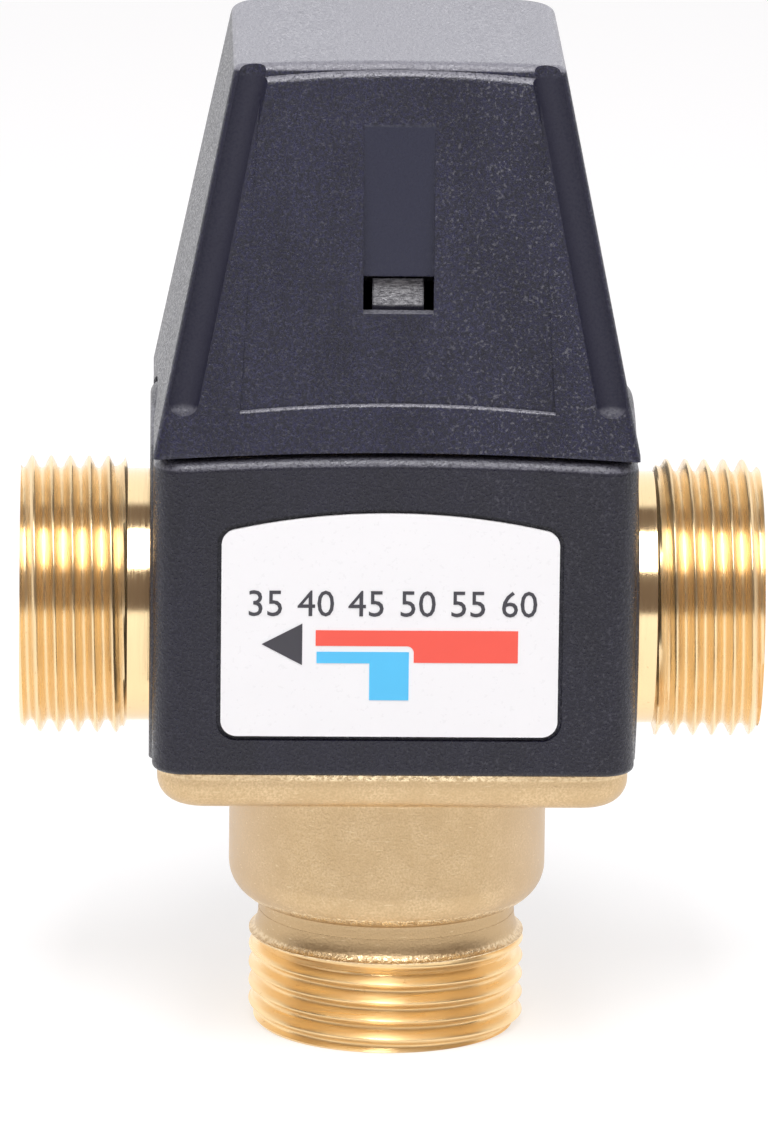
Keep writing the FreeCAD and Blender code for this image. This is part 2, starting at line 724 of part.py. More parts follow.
def bonnet_o_ring():
    low, high = bonnet_groove()
    return cord_ring(hot_chamber_diameter / 2 - bonnet_thread_clearance, (low + high) / 2)


# ---- Spindle, knob and their fasteners -------------------------------------------
def spindle_grooves():
    """Heights of the two O-ring grooves on the journal."""
    first = bonnet_cavity_top + spindle_groove_step
    second = first + cord_diameter + spindle_groove_wall
    width = cord_diameter + cord_groove_over
    return [(first, first + width), (second, second + width)]


def clip_groove():
    low = bonnet_neck_top + clip_clearance
    return low, low + clip_thickness


def spindle():
    journal = spindle_journal_diameter / 2
    thread = spindle_thread_diameter / 2
    flat_radius = spindle_flat_diameter / 2
    groove_top = clip_groove()[1]
    shoulder = groove_top + 0.5
    solid = turned([(0, spindle_bottom), (thread - 0.6, spindle_bottom), (thread, spindle_bottom + 0.6),
                    (thread, collar_bottom), (collar_diameter / 2, collar_bottom),
                    (collar_diameter / 2, collar_top), (journal, collar_top), (journal, shoulder),
                    (flat_radius, shoulder), (flat_radius, spindle_top), (0, spindle_top)])
    for low, high in spindle_grooves():
        solid = solid.cut(tube(journal + 1, journal - cord_diameter, low, high))
    low, high = clip_groove()
    solid = solid.cut(tube(journal + 1, journal - 0.6, low, high))
    solid = solid.cut(block(spindle_flat, journal + 1, -journal - 1, journal + 1, shoulder, spindle_top + 1))
    return solid.cut(drum(screw_diameter / 2, spindle_top - screw_length - 1, spindle_top + 1))


def spindle_o_ring(index):
    low, high = spindle_grooves()[index]
    return cord_ring(spindle_journal_diameter / 2, (low + high) / 2)


def spindle_circlip():
    low, high = clip_groove()
    groove = spindle_journal_diameter / 2 - 0.6
    clip = tube(groove + 1.9, groove, low, high)
    return clip.cut(block(-1.6, 1.6, 0, groove + 3, low - 1, high + 1))


def adjusting_knob():
    """Grip knob with scallops, a hollow underside, a hub with a driving flat and a stop lug."""
    solid = turned([(0, knob_bottom), (knob_radius, knob_bottom), (knob_radius, knob_top - 1.2),
                    (knob_radius - 1.2, knob_top), (0, knob_top)])
    half_lug = knob_lug_width / 2
    lug = block(knob_radius - 2, knob_lug_reach, -half_lug, half_lug, knob_bottom, knob_bottom + knob_lug_height)
    grip_middle = knob_radius + knob_grip_radius - knob_grip_depth
    for step in range(knob_grips):
        angle = 2 * math.pi * (step + 0.5) / knob_grips
        middle = Vector(grip_middle * math.cos(angle), grip_middle * math.sin(angle),
                        knob_bottom + knob_lug_height)
        solid = solid.cut(Part.makeCylinder(knob_grip_radius, knob_top, middle))
    solid = join(solid, lug)
    under = knob_top - knob_web
    hollow = tube(knob_radius - knob_wall, knob_hub_radius, knob_bottom - 1, under)
    solid = solid.cut(hollow)
    flat_radius = spindle_flat_diameter / 2
    shaft = drum(flat_radius, knob_bottom - 1, spindle_top)
    shaft = shaft.cut(block(spindle_flat, flat_radius + 1, -flat_radius, flat_radius,
                            knob_bottom - 2, spindle_top + 1))
    solid = solid.cut(shaft)
    hub_foot = clip_groove()[1] + 0.5
    solid = solid.cut(drum(knob_hub_radius + 0.1, knob_bottom - 1, hub_foot))
    head_seat = knob_top - screw_head_height + screw_head_stand
    solid = solid.cut(drum(screw_diameter / 2 + screw_hole_clearance, spindle_top - 1, knob_top + 1))
    return solid.cut(drum(screw_head_diameter / 2 + screw_head_clearance, head_seat, knob_top + 1))


def knob_screw():
    """Socket screw that holds the knob down on the spindle."""
    seat = knob_top - screw_head_height + screw_head_stand
    head = screw_head_diameter / 2
    top = seat + screw_head_height
    solid = turned([(0, spindle_top - screw_length), (screw_diameter / 2, spindle_top - screw_length),
                    (screw_diameter / 2, seat), (head, seat), (head, top - 0.4), (head - 0.4, top), (0, top)])
    return solid.cut(hexagon(screw_socket, top - screw_socket_depth, top + 1))


# ---- Carriage, overload spring and cup -------------------------------------------
def carriage():
    """Travelling nut: a keyed cup that the spindle's thread moves up and down."""
    inner = carriage_inner_diameter / 2
    solid = tube(carriage_radius, inner, carriage_bottom, carriage_top)
    roof = drum(carriage_radius, carriage_roof_bottom, carriage_top)
    boss = drum(carriage_boss_diameter / 2, carriage_boss_bottom, carriage_top)
    keys = []
    for side in (1, -1):
        low, high = sorted((side * (inner + 0.4), side * key_reach))
        keys.append(block(-key_width / 2, key_width / 2, low, high, carriage_bottom, carriage_top))
    solid = join(solid, roof, boss, *keys)
    nut = spindle_thread_diameter / 2 + thread_clearance
    solid = solid.cut(drum(nut, carriage_boss_bottom - 1, carriage_top + 1))
    low, high = carriage_clip_heights()
    return solid.cut(drum(inner + carriage_clip_depth, low, high))


def carriage_clip_heights():
    return cup_bottom - carriage_clip_thickness, cup_bottom


def carriage_circlip():
    low, high = carriage_clip_heights()
    outer = carriage_inner_diameter / 2 + carriage_clip_depth
    clip = tube(outer, carriage_clip_inner / 2, low, high)
    return clip.cut(block(-1.8, 1.8, 0, outer + 1, low - 1, high + 1))


def overload_spring():
    mean = (carriage_inner_diameter / 2 + carriage_boss_diameter / 2) / 2
    return coil(mean, overload_wire, overload_turns, cup_top, carriage_roof_bottom)


def overload_cup():
    radius = carriage_inner_diameter / 2 - cup_clearance
    hub = carriage_boss_diameter / 2 - 0.5
    return turned([(0, cup_bottom), (radius, cup_bottom), (radius, cup_top), (hub, cup_top),
                   (hub, cup_top + cup_hub_height), (0, cup_top + cup_hub_height)])


# ---- Thermostatic element and shuttle ---------------------------------------------
def element_piston():
    return drum(piston_diameter / 2, piston_bottom, cup_bottom)


def wax_capsule():
    body = capsule_diameter / 2
    flange_radius = capsule_flange_diameter / 2
    guide = capsule_guide_diameter / 2
    solid = turned([(0, capsule_bottom), (body - 1, capsule_bottom), (body, capsule_bottom + 1),
                    (body, capsule_flange_bottom), (flange_radius, capsule_flange_bottom),
                    (flange_radius, capsule_flange_top - 0.5), (flange_radius - 0.5, capsule_flange_top),
                    (guide, capsule_flange_top), (guide, capsule_guide_top - 0.4),
                    (guide - 0.4, capsule_guide_top), (0, capsule_guide_top)])
    bore = drum(piston_diameter / 2 + piston_clearance, piston_bottom - 1.5, capsule_guide_top + 1)
    return solid.cut(bore)


def shuttle():
    """Brass shuttle: a cold land below, a windowed stem, and the hot disc above."""
    stem = shuttle_stem_diameter / 2
    disc = shuttle_disc_diameter / 2
    land = shuttle_land_diameter / 2
    seal_step = seal_inner_diameter / 2
    solid = turned([(0, shuttle_land_bottom), (land, shuttle_land_bottom), (land, shuttle_land_top),
                    (stem, shuttle_land_top), (stem, seal_bottom), (seal_step, seal_bottom),
                    (seal_step, disc_bottom), (disc, disc_bottom), (disc, shuttle_disc_top),
                    (0, shuttle_disc_top)])
    solid = solid.cut(drum(shuttle_stem_bore / 2, shuttle_stem_floor, shuttle_disc_top + 1))
    solid = solid.cut(drum(capsule_flange_diameter / 2 + 0.1, capsule_flange_bottom, shuttle_disc_top + 1))
    spring_outer = return_spring_diameter / 2 + 0.2
    solid = solid.cut(drum(spring_outer, shuttle_land_bottom - 1, shuttle_land_bottom + return_seat_depth))
    half = shuttle_window_width / 2
    for turn in (0, 90):
        window = block(-stem - 1, stem + 1, -half, half, shuttle_window_bottom, shuttle_window_top)
        window.rotate(Vector(0, 0, 0), Vector(0, 0, 1), turn + 45)
        solid = solid.cut(window)
    return solid


def hot_seal_ring():
    return tube(shuttle_disc_diameter / 2, seal_inner_diameter / 2, seal_bottom, disc_bottom)


def return_spring():
    mean = (return_spring_diameter - return_wire) / 2
    return coil(mean, return_wire, return_turns, spring_ledge_top, shuttle_land_bottom + return_seat_depth)


# ---- Write every piece ------------------------------------------------------------
os.makedirs("parts", exist_ok=True)
save("valve_body", valve_body())
save("lower_cover", lower_cover())
save("flow_label", flow_label())
save("cap", cap())
save("bonnet", bonnet())
save("bonnet_o_ring", bonnet_o_ring())
save("spindle", spindle())
save("spindle_o_ring_lower", spindle_o_ring(0))
save("spindle_o_ring_upper", spindle_o_ring(1))
save("spindle_circlip", spindle_circlip())
save("adjusting_knob", adjusting_knob())
save("knob_screw", knob_screw())
save("carriage", carriage())
save("carriage_circlip", carriage_circlip())
save("overload_spring", overload_spring())
save("overload_cup", overload_cup())
save("element_piston", element_piston())
save("wax_capsule", wax_capsule())
save("shuttle", shuttle())
save("hot_seal_ring", hot_seal_ring())
save("return_spring", return_spring())
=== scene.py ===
# %% [markdown]
# # Dressing a thermostatic mixing valve
#
# The valve comes as a imported model: exact solids from CAD, one for each real piece, already in
# place and in metres. This lesson gives those solids their looks. Most of them are right as they
# are and only need a finish. The brass body is replaced by a finer mesh, because its pipe
# threads are plain cylinders in CAD, and the two springs are replaced by copies of their solids.

import math

import bmesh
import bpy
import numpy as np
from mathutils import Matrix, Vector


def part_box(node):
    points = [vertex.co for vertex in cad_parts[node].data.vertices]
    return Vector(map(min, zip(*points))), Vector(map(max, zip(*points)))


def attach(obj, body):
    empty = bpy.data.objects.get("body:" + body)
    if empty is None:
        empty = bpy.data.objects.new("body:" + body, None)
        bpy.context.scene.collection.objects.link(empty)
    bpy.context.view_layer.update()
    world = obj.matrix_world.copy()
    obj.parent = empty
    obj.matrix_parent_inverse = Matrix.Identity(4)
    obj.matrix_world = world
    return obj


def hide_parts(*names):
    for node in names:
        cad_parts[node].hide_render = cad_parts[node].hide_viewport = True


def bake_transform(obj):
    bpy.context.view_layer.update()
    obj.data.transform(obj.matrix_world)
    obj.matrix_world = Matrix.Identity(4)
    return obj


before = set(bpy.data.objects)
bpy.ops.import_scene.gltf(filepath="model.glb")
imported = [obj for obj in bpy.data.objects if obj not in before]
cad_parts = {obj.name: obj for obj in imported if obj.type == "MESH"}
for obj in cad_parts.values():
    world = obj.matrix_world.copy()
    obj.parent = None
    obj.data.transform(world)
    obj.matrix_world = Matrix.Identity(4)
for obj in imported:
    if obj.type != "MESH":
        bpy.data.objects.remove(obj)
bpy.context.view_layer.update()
MM = 0.001
print("nodes:", ", ".join(sorted(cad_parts)))

# %% [markdown]
# ## The camera
#
# A long lens from a metre away keeps the ports almost parallel, as a parts catalogue shows them.
# The camera looks down by 14 degrees, stands a little to the left and is tilted by a fraction of a
# degree. Its three axes are worked out as vectors and written straight into its matrix, which is
# clearer than three Euler angles.

# %% Camera from its angles
CAMERA_YAW = math.radians(-1.4)
CAMERA_HEIGHT = math.radians(13.7)
CAMERA_ROLL = math.radians(-0.66)
CAMERA_DISTANCE = 0.980
CAMERA_AIM = Vector((-0.00057, 0.0, 0.0442))
SENSOR_HEIGHT = 24.0
FOCAL_LENGTH = 214.5


def place_camera():
    back = Vector((math.sin(CAMERA_YAW) * math.cos(CAMERA_HEIGHT),
                   -math.cos(CAMERA_YAW) * math.cos(CAMERA_HEIGHT),
                   math.sin(CAMERA_HEIGHT)))
    level_right = Vector((math.cos(CAMERA_YAW), math.sin(CAMERA_YAW), 0.0))
    level_up = back.cross(level_right)
    right = level_right * math.cos(CAMERA_ROLL) - level_up * math.sin(CAMERA_ROLL)
    up = back.cross(right)
    lens = bpy.data.cameras.new("camera")
    lens.sensor_fit = "VERTICAL"
    lens.sensor_height = SENSOR_HEIGHT
    lens.lens = FOCAL_LENGTH
    camera = bpy.data.objects.new("camera", lens)
    camera.matrix_world = Matrix.Translation(CAMERA_AIM + back * CAMERA_DISTANCE) @ Matrix(
        (right, up, back)).transposed().to_4x4()
    bpy.context.scene.collection.objects.link(camera)
    bpy.context.scene.camera = camera
    return camera


camera = place_camera()
print("camera at", [round(value, 3) for value in camera.matrix_world.translation])

# %% [markdown]
# ## The surroundings
#
# Polished brass has almost no colour of its own: it shows what stands around it. A product table
# has a white sweep below and behind, a dark room behind the camera, and soft boxes above. On a
# turned neck these become bands: pale, dark, a white bar, dark, pale. So the world is bright
# behind the valve and dim in front of it. A narrow soft box over the camera draws the white bar.
# Two wide ones stand high at the sides: they light the flanks, but are too high to fill the dark
# bands.

# %% Helpers for shader nodes
def add_node(tree, kind, settings=None, **inputs):
    """Add a node; settings are its own options, inputs are socket names with _ for a space."""
    node = tree.nodes.new(kind)
    for name, value in (settings or {}).items():
        setattr(node, name, value)
    for name, value in inputs.items():
        node.inputs[name.replace("_", " ")].default_value = value
    return node


def do_math(tree, operation, first, second=None, third=None):
    """One Math node; each term is a number or an output socket."""
    node = add_node(tree, "ShaderNodeMath", {"operation": operation})
    for socket, term in zip(node.inputs, (first, second, third)):
        if isinstance(term, bpy.types.NodeSocket):
            tree.links.new(term, socket)
        elif term is not None:
            socket.default_value = term
    return node.outputs[0]


def split_axes(tree, vector):
    """The X, Y and Z of a vector as three output sockets."""
    axes = add_node(tree, "ShaderNodeSeparateXYZ")
    tree.links.new(vector, axes.inputs[0])
    return axes.outputs["X"], axes.outputs["Y"], axes.outputs["Z"]


def ramp(tree, value, low, high, to_low=0.0, to_high=1.0):
    """Smooth step of a value from low..high to to_low..to_high."""
    node = add_node(tree, "ShaderNodeMapRange", {"interpolation_type": "SMOOTHSTEP"},
                    From_Min=low, From_Max=high, To_Min=to_low, To_Max=to_high)
    tree.links.new(value, node.inputs["Value"])
    return node.outputs["Result"]


def mix_colour(tree, factor, first, second, blend="MIX"):
    """Mix two colours; each one is an RGBA tuple or an output socket."""
    node = add_node(tree, "ShaderNodeMix", {"data_type": "RGBA", "blend_type": blend})
    terms = (factor, first, second)
    for socket, term in zip((node.inputs[0], node.inputs[6], node.inputs[7]), terms):
        if isinstance(term, bpy.types.NodeSocket):
            tree.links.new(term, socket)
        else:
            socket.default_value = term
    return node.outputs[2]


print("five helpers for node trees")


# %% World: white behind the valve, dim behind the camera
ROOM_DIM = (0.20, 0.165, 0.155, 1.0)
ROOM_BRIGHT = (1.22, 1.22, 1.25, 1.0)
WHITE = (1.0, 1.0, 1.0, 1.0)
BLACK = (0.0, 0.0, 0.0, 1.0)
# the white half starts at the valve and leans away from the camera towards the ceiling
EDGE_LEAN, EDGE_START, EDGE_END = -0.24, -0.06, 0.10
# the ceiling dims in two steps away from the middle: start, end and share of the dimming
CEILING_STEPS = ((0.08, 0.15, 0.32), (0.22, 0.34, 0.34))
CEILING_START, CEILING_END = 0.50, 0.80


def build_world():
    world = bpy.data.worlds.new("studio")
    world.use_nodes = True
    tree = world.node_tree
    tree.nodes.clear()
    direction = add_node(tree, "ShaderNodeTexCoord").outputs["Generated"]
    east, north, up = split_axes(tree, direction)
    behind = do_math(tree, "MULTIPLY_ADD", up, EDGE_LEAN, north)
    sideways = do_math(tree, "ABSOLUTE", east)
    inner, outer = (ramp(tree, sideways, start, end, 0.0, share)
                    for start, end, share in CEILING_STEPS)
    ceiling = do_math(tree, "MULTIPLY", do_math(tree, "ADD", inner, outer),
                      ramp(tree, up, CEILING_START, CEILING_END))
    bright = mix_colour(tree, ceiling, ROOM_BRIGHT, BLACK)
    room = mix_colour(tree, ramp(tree, behind, EDGE_START, EDGE_END), ROOM_DIM, bright)
    seen = add_node(tree, "ShaderNodeLightPath").outputs["Is Camera Ray"]
    background = add_node(tree, "ShaderNodeBackground", Strength=1.0)
    tree.links.new(mix_colour(tree, seen, room, WHITE), background.inputs["Color"])
    output = add_node(tree, "ShaderNodeOutputWorld")
    tree.links.new(background.outputs[0], output.inputs[0])
    bpy.context.scene.world = world


build_world()
bpy.context.scene.view_settings.view_transform = "Standard"
print("world: dim room", ROOM_DIM[:3], "bright sweep", ROOM_BRIGHT[:3])


# %% Three soft boxes
LAMP_AIM = Vector((0.0, 0.0, 0.045))


def soft_box(name, elevation, azimuth, distance, width, height, watts):
    """Area lamp that faces the valve from an elevation and azimuth, both in degrees."""
    lamp = bpy.data.lights.new(name, "AREA")
    lamp.shape = "RECTANGLE"
    lamp.size = width
    lamp.size_y = height
    lamp.energy = watts
    holder = bpy.data.objects.new(name, lamp)
    rise = math.radians(elevation)
    turn = math.radians(azimuth)
    way = Vector((math.sin(turn) * math.cos(rise), -math.cos(turn) * math.cos(rise),
                  math.sin(rise)))
    holder.location = LAMP_AIM + way * distance
    holder.rotation_euler = way.to_track_quat("Z", "Y").to_euler()
    bpy.context.scene.collection.objects.link(holder)
    print(name, watts, "W at", distance, "m")


soft_box("key_box", 56.0, -2.0, 0.9, 0.30, 0.60, 5.4)
soft_box("left_box", 54.0, -42.0, 1.1, 0.60, 0.50, 2.1)
soft_box("right_box", 54.0, 42.0, 1.1, 0.60, 0.50, 2.1)

# %% [markdown]
# ## The floor
#
# The white sweep has to look white without flooding the valve with light. Its material is a plain
# diffuse white for every ray that lights the valve. Rays that are seen get some glow as well, which
# lifts the floor to white and keeps only the soft contact shadow. A mirror ray gets more of it than
# a camera ray, because bright metal should show a white floor, not the shadow on it.

# %% Floor
FLOOR_HALF = 1.6
FLOOR_WHITE = (0.82, 0.82, 0.83, 1.0)
GLOW_STRENGTH = 1.55
GLOW_IN_VIEW = 0.36
GLOW_IN_MIRROR = 0.5


def build_floor():
    mesh = bpy.data.meshes.new("floor")
    half = FLOOR_HALF
    mesh.from_pydata([(-half, -half, 0), (half, -half, 0), (half, half, 0), (-half, half, 0)],
                     [], [(0, 1, 2, 3)])
    floor = bpy.data.objects.new("floor", mesh)
    bpy.context.scene.collection.objects.link(floor)
    material = bpy.data.materials.new("white_sweep")
    material.use_nodes = True
    tree = material.node_tree
    tree.nodes.clear()
    diffuse = add_node(tree, "ShaderNodeBsdfDiffuse", Color=FLOOR_WHITE)
    glow = add_node(tree, "ShaderNodeEmission", Strength=GLOW_STRENGTH)
    path = add_node(tree, "ShaderNodeLightPath")
    mirrored = do_math(tree, "MAXIMUM", path.outputs["Is Glossy Ray"],
                       path.outputs["Is Transmission Ray"])
    share = do_math(tree, "MULTIPLY", path.outputs["Is Camera Ray"], GLOW_IN_VIEW)
    share = do_math(tree, "MULTIPLY_ADD", mirrored, GLOW_IN_MIRROR, share)
    mix = add_node(tree, "ShaderNodeMixShader")
    tree.links.new(share, mix.inputs[0])
    tree.links.new(diffuse.outputs[0], mix.inputs[1])
    tree.links.new(glow.outputs[0], mix.inputs[2])
    output = add_node(tree, "ShaderNodeOutputMaterial")
    tree.links.new(mix.outputs[0], output.inputs[0])
    mesh.materials.append(material)


build_floor()
print("floor", 2 * FLOOR_HALF, "m wide")

# %% [markdown]
# ## Finishes
#
# Every finish is a small node tree on the Principled shader. They share a start, the object's own
# coordinates in millimetres, so that a grain of 0.3 mm is written as such. Image textures would
# need unwrapping and would blur close up. Noise in the object's own space has neither trouble, and
# runs on over the edges as a real grain does.

# %% Start of a finish
def start_finish(name, colour, roughness, metallic=0.0, **sockets):
    """New material; returns it with its tree, shader and coordinates in millimetres."""
    material = bpy.data.materials.new(name)
    material.use_nodes = True
    tree = material.node_tree
    shader = tree.nodes["Principled BSDF"]
    shader.inputs["Base Color"].default_value = (*colour, 1.0)
    shader.inputs["Roughness"].default_value = roughness
    shader.inputs["Metallic"].default_value = metallic
    for socket, value in sockets.items():
        shader.inputs[socket.replace("_", " ")].default_value = value
    place = add_node(tree, "ShaderNodeTexCoord").outputs["Object"]
    scale = add_node(tree, "ShaderNodeVectorMath", {"operation": "SCALE"}, Scale=1.0 / MM)
    tree.links.new(place, scale.inputs[0])
    return material, tree, shader, scale.outputs[0]


def noise(tree, place, grain, detail=2.0, stretch=None, roughness=0.5):
    """Noise whose features are about grain millimetres wide; stretch scales the axes."""
    if stretch is not None:
        node = add_node(tree, "ShaderNodeVectorMath", {"operation": "MULTIPLY"})
        node.inputs[1].default_value = stretch
        tree.links.new(place, node.inputs[0])
        place = node.outputs[0]
    node = add_node(tree, "ShaderNodeTexNoise", Scale=1.0 / grain, Detail=detail,
                    Roughness=roughness)
    tree.links.new(place, node.inputs["Vector"])
    return node.outputs["Fac"]


def add_relief(tree, shader, height, depth):
    """Bump whose full height is depth millimetres."""
    bump = add_node(tree, "ShaderNodeBump", Strength=1.0, Distance=depth * MM)
    tree.links.new(height, bump.inputs["Height"])
    tree.links.new(bump.outputs[0], shader.inputs["Normal"])


print("finishes start in millimetres")


# %% [markdown]
# ### Brass, as forged and as machined
#
# The body is forged, then shot-blasted: a dull, sandy surface with slightly darker and lighter
# patches. Its waist is painted darker as shade in the groove, and the sides of its boss are
# painted darker as shade where they turn away from the lamps. Its edges are polished by handling
# and get a painted highlight. Such places could be painted by hand. Here they are bands of height
# with soft ends, because the edges run round the body at known heights.
#
# Only the ports are turned on a lathe afterwards. There the metal is bright, and the tool leaves
# rings round the port, so the noise for them is stretched along the rings and squeezed across
# them. Rings too fine to model still draw out each highlight along the port. The shader's
# anisotropy does that, with a tangent that runs round the port's axis. The threads are cut with a
# die and are rougher, so their highlight is drawn out much further.

# %% Helpers for places on a surface
def inside_band(tree, value, low, high, soft=0.15):
    """1 where a value lies between low and high, with soft edges."""
    above = ramp(tree, value, low - soft, low + soft)
    below = ramp(tree, value, high - soft, high + soft, 1.0, 0.0)
    return do_math(tree, "MULTIPLY", above, below)


print("bands: 1 inside, 0 outside, soft ends")


# %% Blasted brass
WAIST_LOW, WAIST_HIGH = 9.7, 12.3
BOSS_LOW, BOSS_HIGH = 13.5, 26.0
RUBBED_AND_LIT_RIMS = ((8.95, 9.6), (12.9, 13.6), (26.35, 26.7), (29.5, 30.1))
BLASTED_START = (0.76, 0.565, 0.35)
BLASTED_DEEP = (0.68, 0.50, 0.29, 1.0)
BLASTED_PALE = (0.79, 0.60, 0.37, 1.0)
BLASTED_PITS = (0.56, 0.40, 0.22, 1.0)
# painted shade for the sides of the boss
BRASS_SIDE_SHADE = (0.55, 0.41, 0.28, 1.0)
# painted shade for the waist groove
BRASS_WAIST_SHADE = (0.52, 0.36, 0.19, 1.0)
# painted highlight for the rims, which are also polished
BRASS_RIM_HIGHLIGHT = (0.95, 0.77, 0.50, 1.0)
BRASS_SCRATCH = (0.93, 0.76, 0.50, 1.0)


# The rims get a real polish and a painted highlight, which fades towards the sides.
def rubbed_rims(tree, height, aside, nicks):
    """1 on the rims in RUBBED_AND_LIT_RIMS, broken up by nicks and fainter towards the sides."""
    rims = [inside_band(tree, height, low, high, 0.12) for low, high in RUBBED_AND_LIT_RIMS]
    rubbed_and_highlight = rims[0]
    for rim in rims[1:]:
        rubbed_and_highlight = do_math(tree, "MAXIMUM", rubbed_and_highlight, rim)
    rubbed_and_highlight = do_math(tree, "MULTIPLY", rubbed_and_highlight, ramp(tree, nicks, 0.38, 0.58))
    return do_math(tree, "MULTIPLY", rubbed_and_highlight, ramp(tree, aside, 6.0, 13.0, 1.0, 0.40))


def blasted_brass():
    """Sandy forged brass; painted shade on waist and boss sides, painted highlight on polished rims.
    """
    material, tree, shader, place = start_finish(
        "blasted_brass", BLASTED_START, 0.40, metallic=1.0)
    patches = noise(tree, place, 3.5, detail=3.0)
    grit = noise(tree, place, 0.22, detail=2.0, roughness=0.6)
    tone = mix_colour(tree, ramp(tree, patches, 0.3, 0.7), BLASTED_DEEP, BLASTED_PALE)
    tone = mix_colour(tree, ramp(tree, grit, 0.30, 0.75), BLASTED_PITS, tone)
    across, _, height = split_axes(tree, place)
    aside = do_math(tree, "ABSOLUTE", across)
    # Painted shade: the boss's sides are painted darker where they turn away from the lamps.
    side_shade = do_math(tree, "MULTIPLY", inside_band(tree, height, BOSS_LOW, BOSS_HIGH, 0.5),
                      ramp(tree, aside, 8.0, 15.0, 0.0, 0.50))
    tone = mix_colour(tree, side_shade, tone, BRASS_SIDE_SHADE)
    # Painted shade: the waist groove is painted darker.
    waist = inside_band(tree, height, WAIST_LOW, WAIST_HIGH, 0.5)
    tone = mix_colour(tree, do_math(tree, "MULTIPLY", waist, 0.65), tone, BRASS_WAIST_SHADE)
    nicks = noise(tree, place, 0.45, detail=3.0, roughness=0.7)
    rubbed_and_highlight = rubbed_rims(tree, height, aside, nicks)
    # Painted highlight: the rims are painted paler where they catch the light.
    tone = mix_colour(tree, rubbed_and_highlight, tone, BRASS_RIM_HIGHLIGHT)
    scratches = noise(tree, place, 0.5, detail=1.0, stretch=(0.30, 1.0, 4.0))
    tone = mix_colour(tree, ramp(tree, scratches, 0.70, 0.76, 0.0, 0.5), tone, BRASS_SCRATCH)
    tree.links.new(tone, shader.inputs["Base Color"])
    dullness = do_math(tree, "MULTIPLY_ADD", rubbed_and_highlight, -0.16, ramp(tree, grit, 0.3, 0.7, 0.34, 0.50))
    tree.links.new(dullness, shader.inputs["Roughness"])
    lumps = do_math(tree, "MULTIPLY_ADD", patches, 2.0, grit)
    lumps = do_math(tree, "MULTIPLY_ADD", do_math(tree, "MULTIPLY", rubbed_and_highlight, nicks), 1.5, lumps)
    add_relief(tree, shader, lumps, 0.035)
    return material


# %% Turned brass
RING_SPACING = 0.16
RING_STRETCH = 0.03


def turned_brass(name, axis, roughness, comb, metallic=1.0, colour=(0.93, 0.70, 0.40)):
    """Bright brass with tool rings about an axis, 0 for X and 2 for Z; comb spreads its shine."""
    material, tree, shader, place = start_finish(
        name, colour, roughness, metallic, Anisotropic=comb, Anisotropic_Rotation=0.25)
    round_axis = add_node(tree, "ShaderNodeTangent",
                          {"direction_type": "RADIAL", "axis": "XYZ"[axis]})
    tree.links.new(round_axis.outputs[0], shader.inputs["Tangent"])
    stretch = [RING_STRETCH, RING_STRETCH, RING_STRETCH]
    stretch[axis] = 1.0
    rings = noise(tree, place, RING_SPACING, detail=2.0, stretch=stretch)
    stains = noise(tree, place, 0.7, detail=4.0, roughness=0.65)
    pale = (*colour, 1.0)
    dull = (colour[0] * 0.80, colour[1] * 0.72, colour[2] * 0.62, 1.0)
    tree.links.new(mix_colour(tree, ramp(tree, stains, 0.64, 0.76), pale, dull),
                   shader.inputs["Base Color"])
    tree.links.new(ramp(tree, rings, 0.3, 0.7, roughness * 0.8, roughness * 1.3),
                   shader.inputs["Roughness"])
    add_relief(tree, shader, rings, 0.003)
    return material


brass_blasted = blasted_brass()
brass_turned_x = turned_brass("turned_brass_x", 0, 0.15, 0.3)
brass_turned_z = turned_brass("turned_brass_z", 2, 0.15, 0.3)
brass_thread_x = turned_brass("threaded_brass_x", 0, 0.29, 0.85, metallic=0.93)
brass_thread_z = turned_brass("threaded_brass_z", 2, 0.33, 0.85, metallic=0.93,
                              colour=(0.92, 0.67, 0.35))
print("brass finishes ready")

# %% [markdown]
# ### Black plastic
#
# The cover and the cap are moulded in a tool with a spark-eroded surface, which leaves a fine
# pebbled grain. Glints on it are painted highlights, stronger towards the right. A mark is a place
# with a finish of its own. The finger groove above the latch was polished in the tool, and the two
# flutes are smooth and dull, so the grain's strength falls to nothing there. The flutes are also
# painted darker, as shade in their hollows. Edges that face up get a painted highlight, and the
# latch nose is scuffed where the cap snaps over it. One material for each moulding does it all: its
# marks are soft boxes in its own coordinates, so no mesh has to be cut up.

# %% Plastic finishes
PEBBLE_SIZE = 0.27
GLINT_TONE = (0.10, 0.10, 0.12, 1.0)
FRONT_START, FRONT_END = -12.0, -11.0
SHADE_DARK = (0.78, 0.78, 0.80, 1.0)
SHADE_PALE = (1.12, 1.12, 1.12, 1.0)


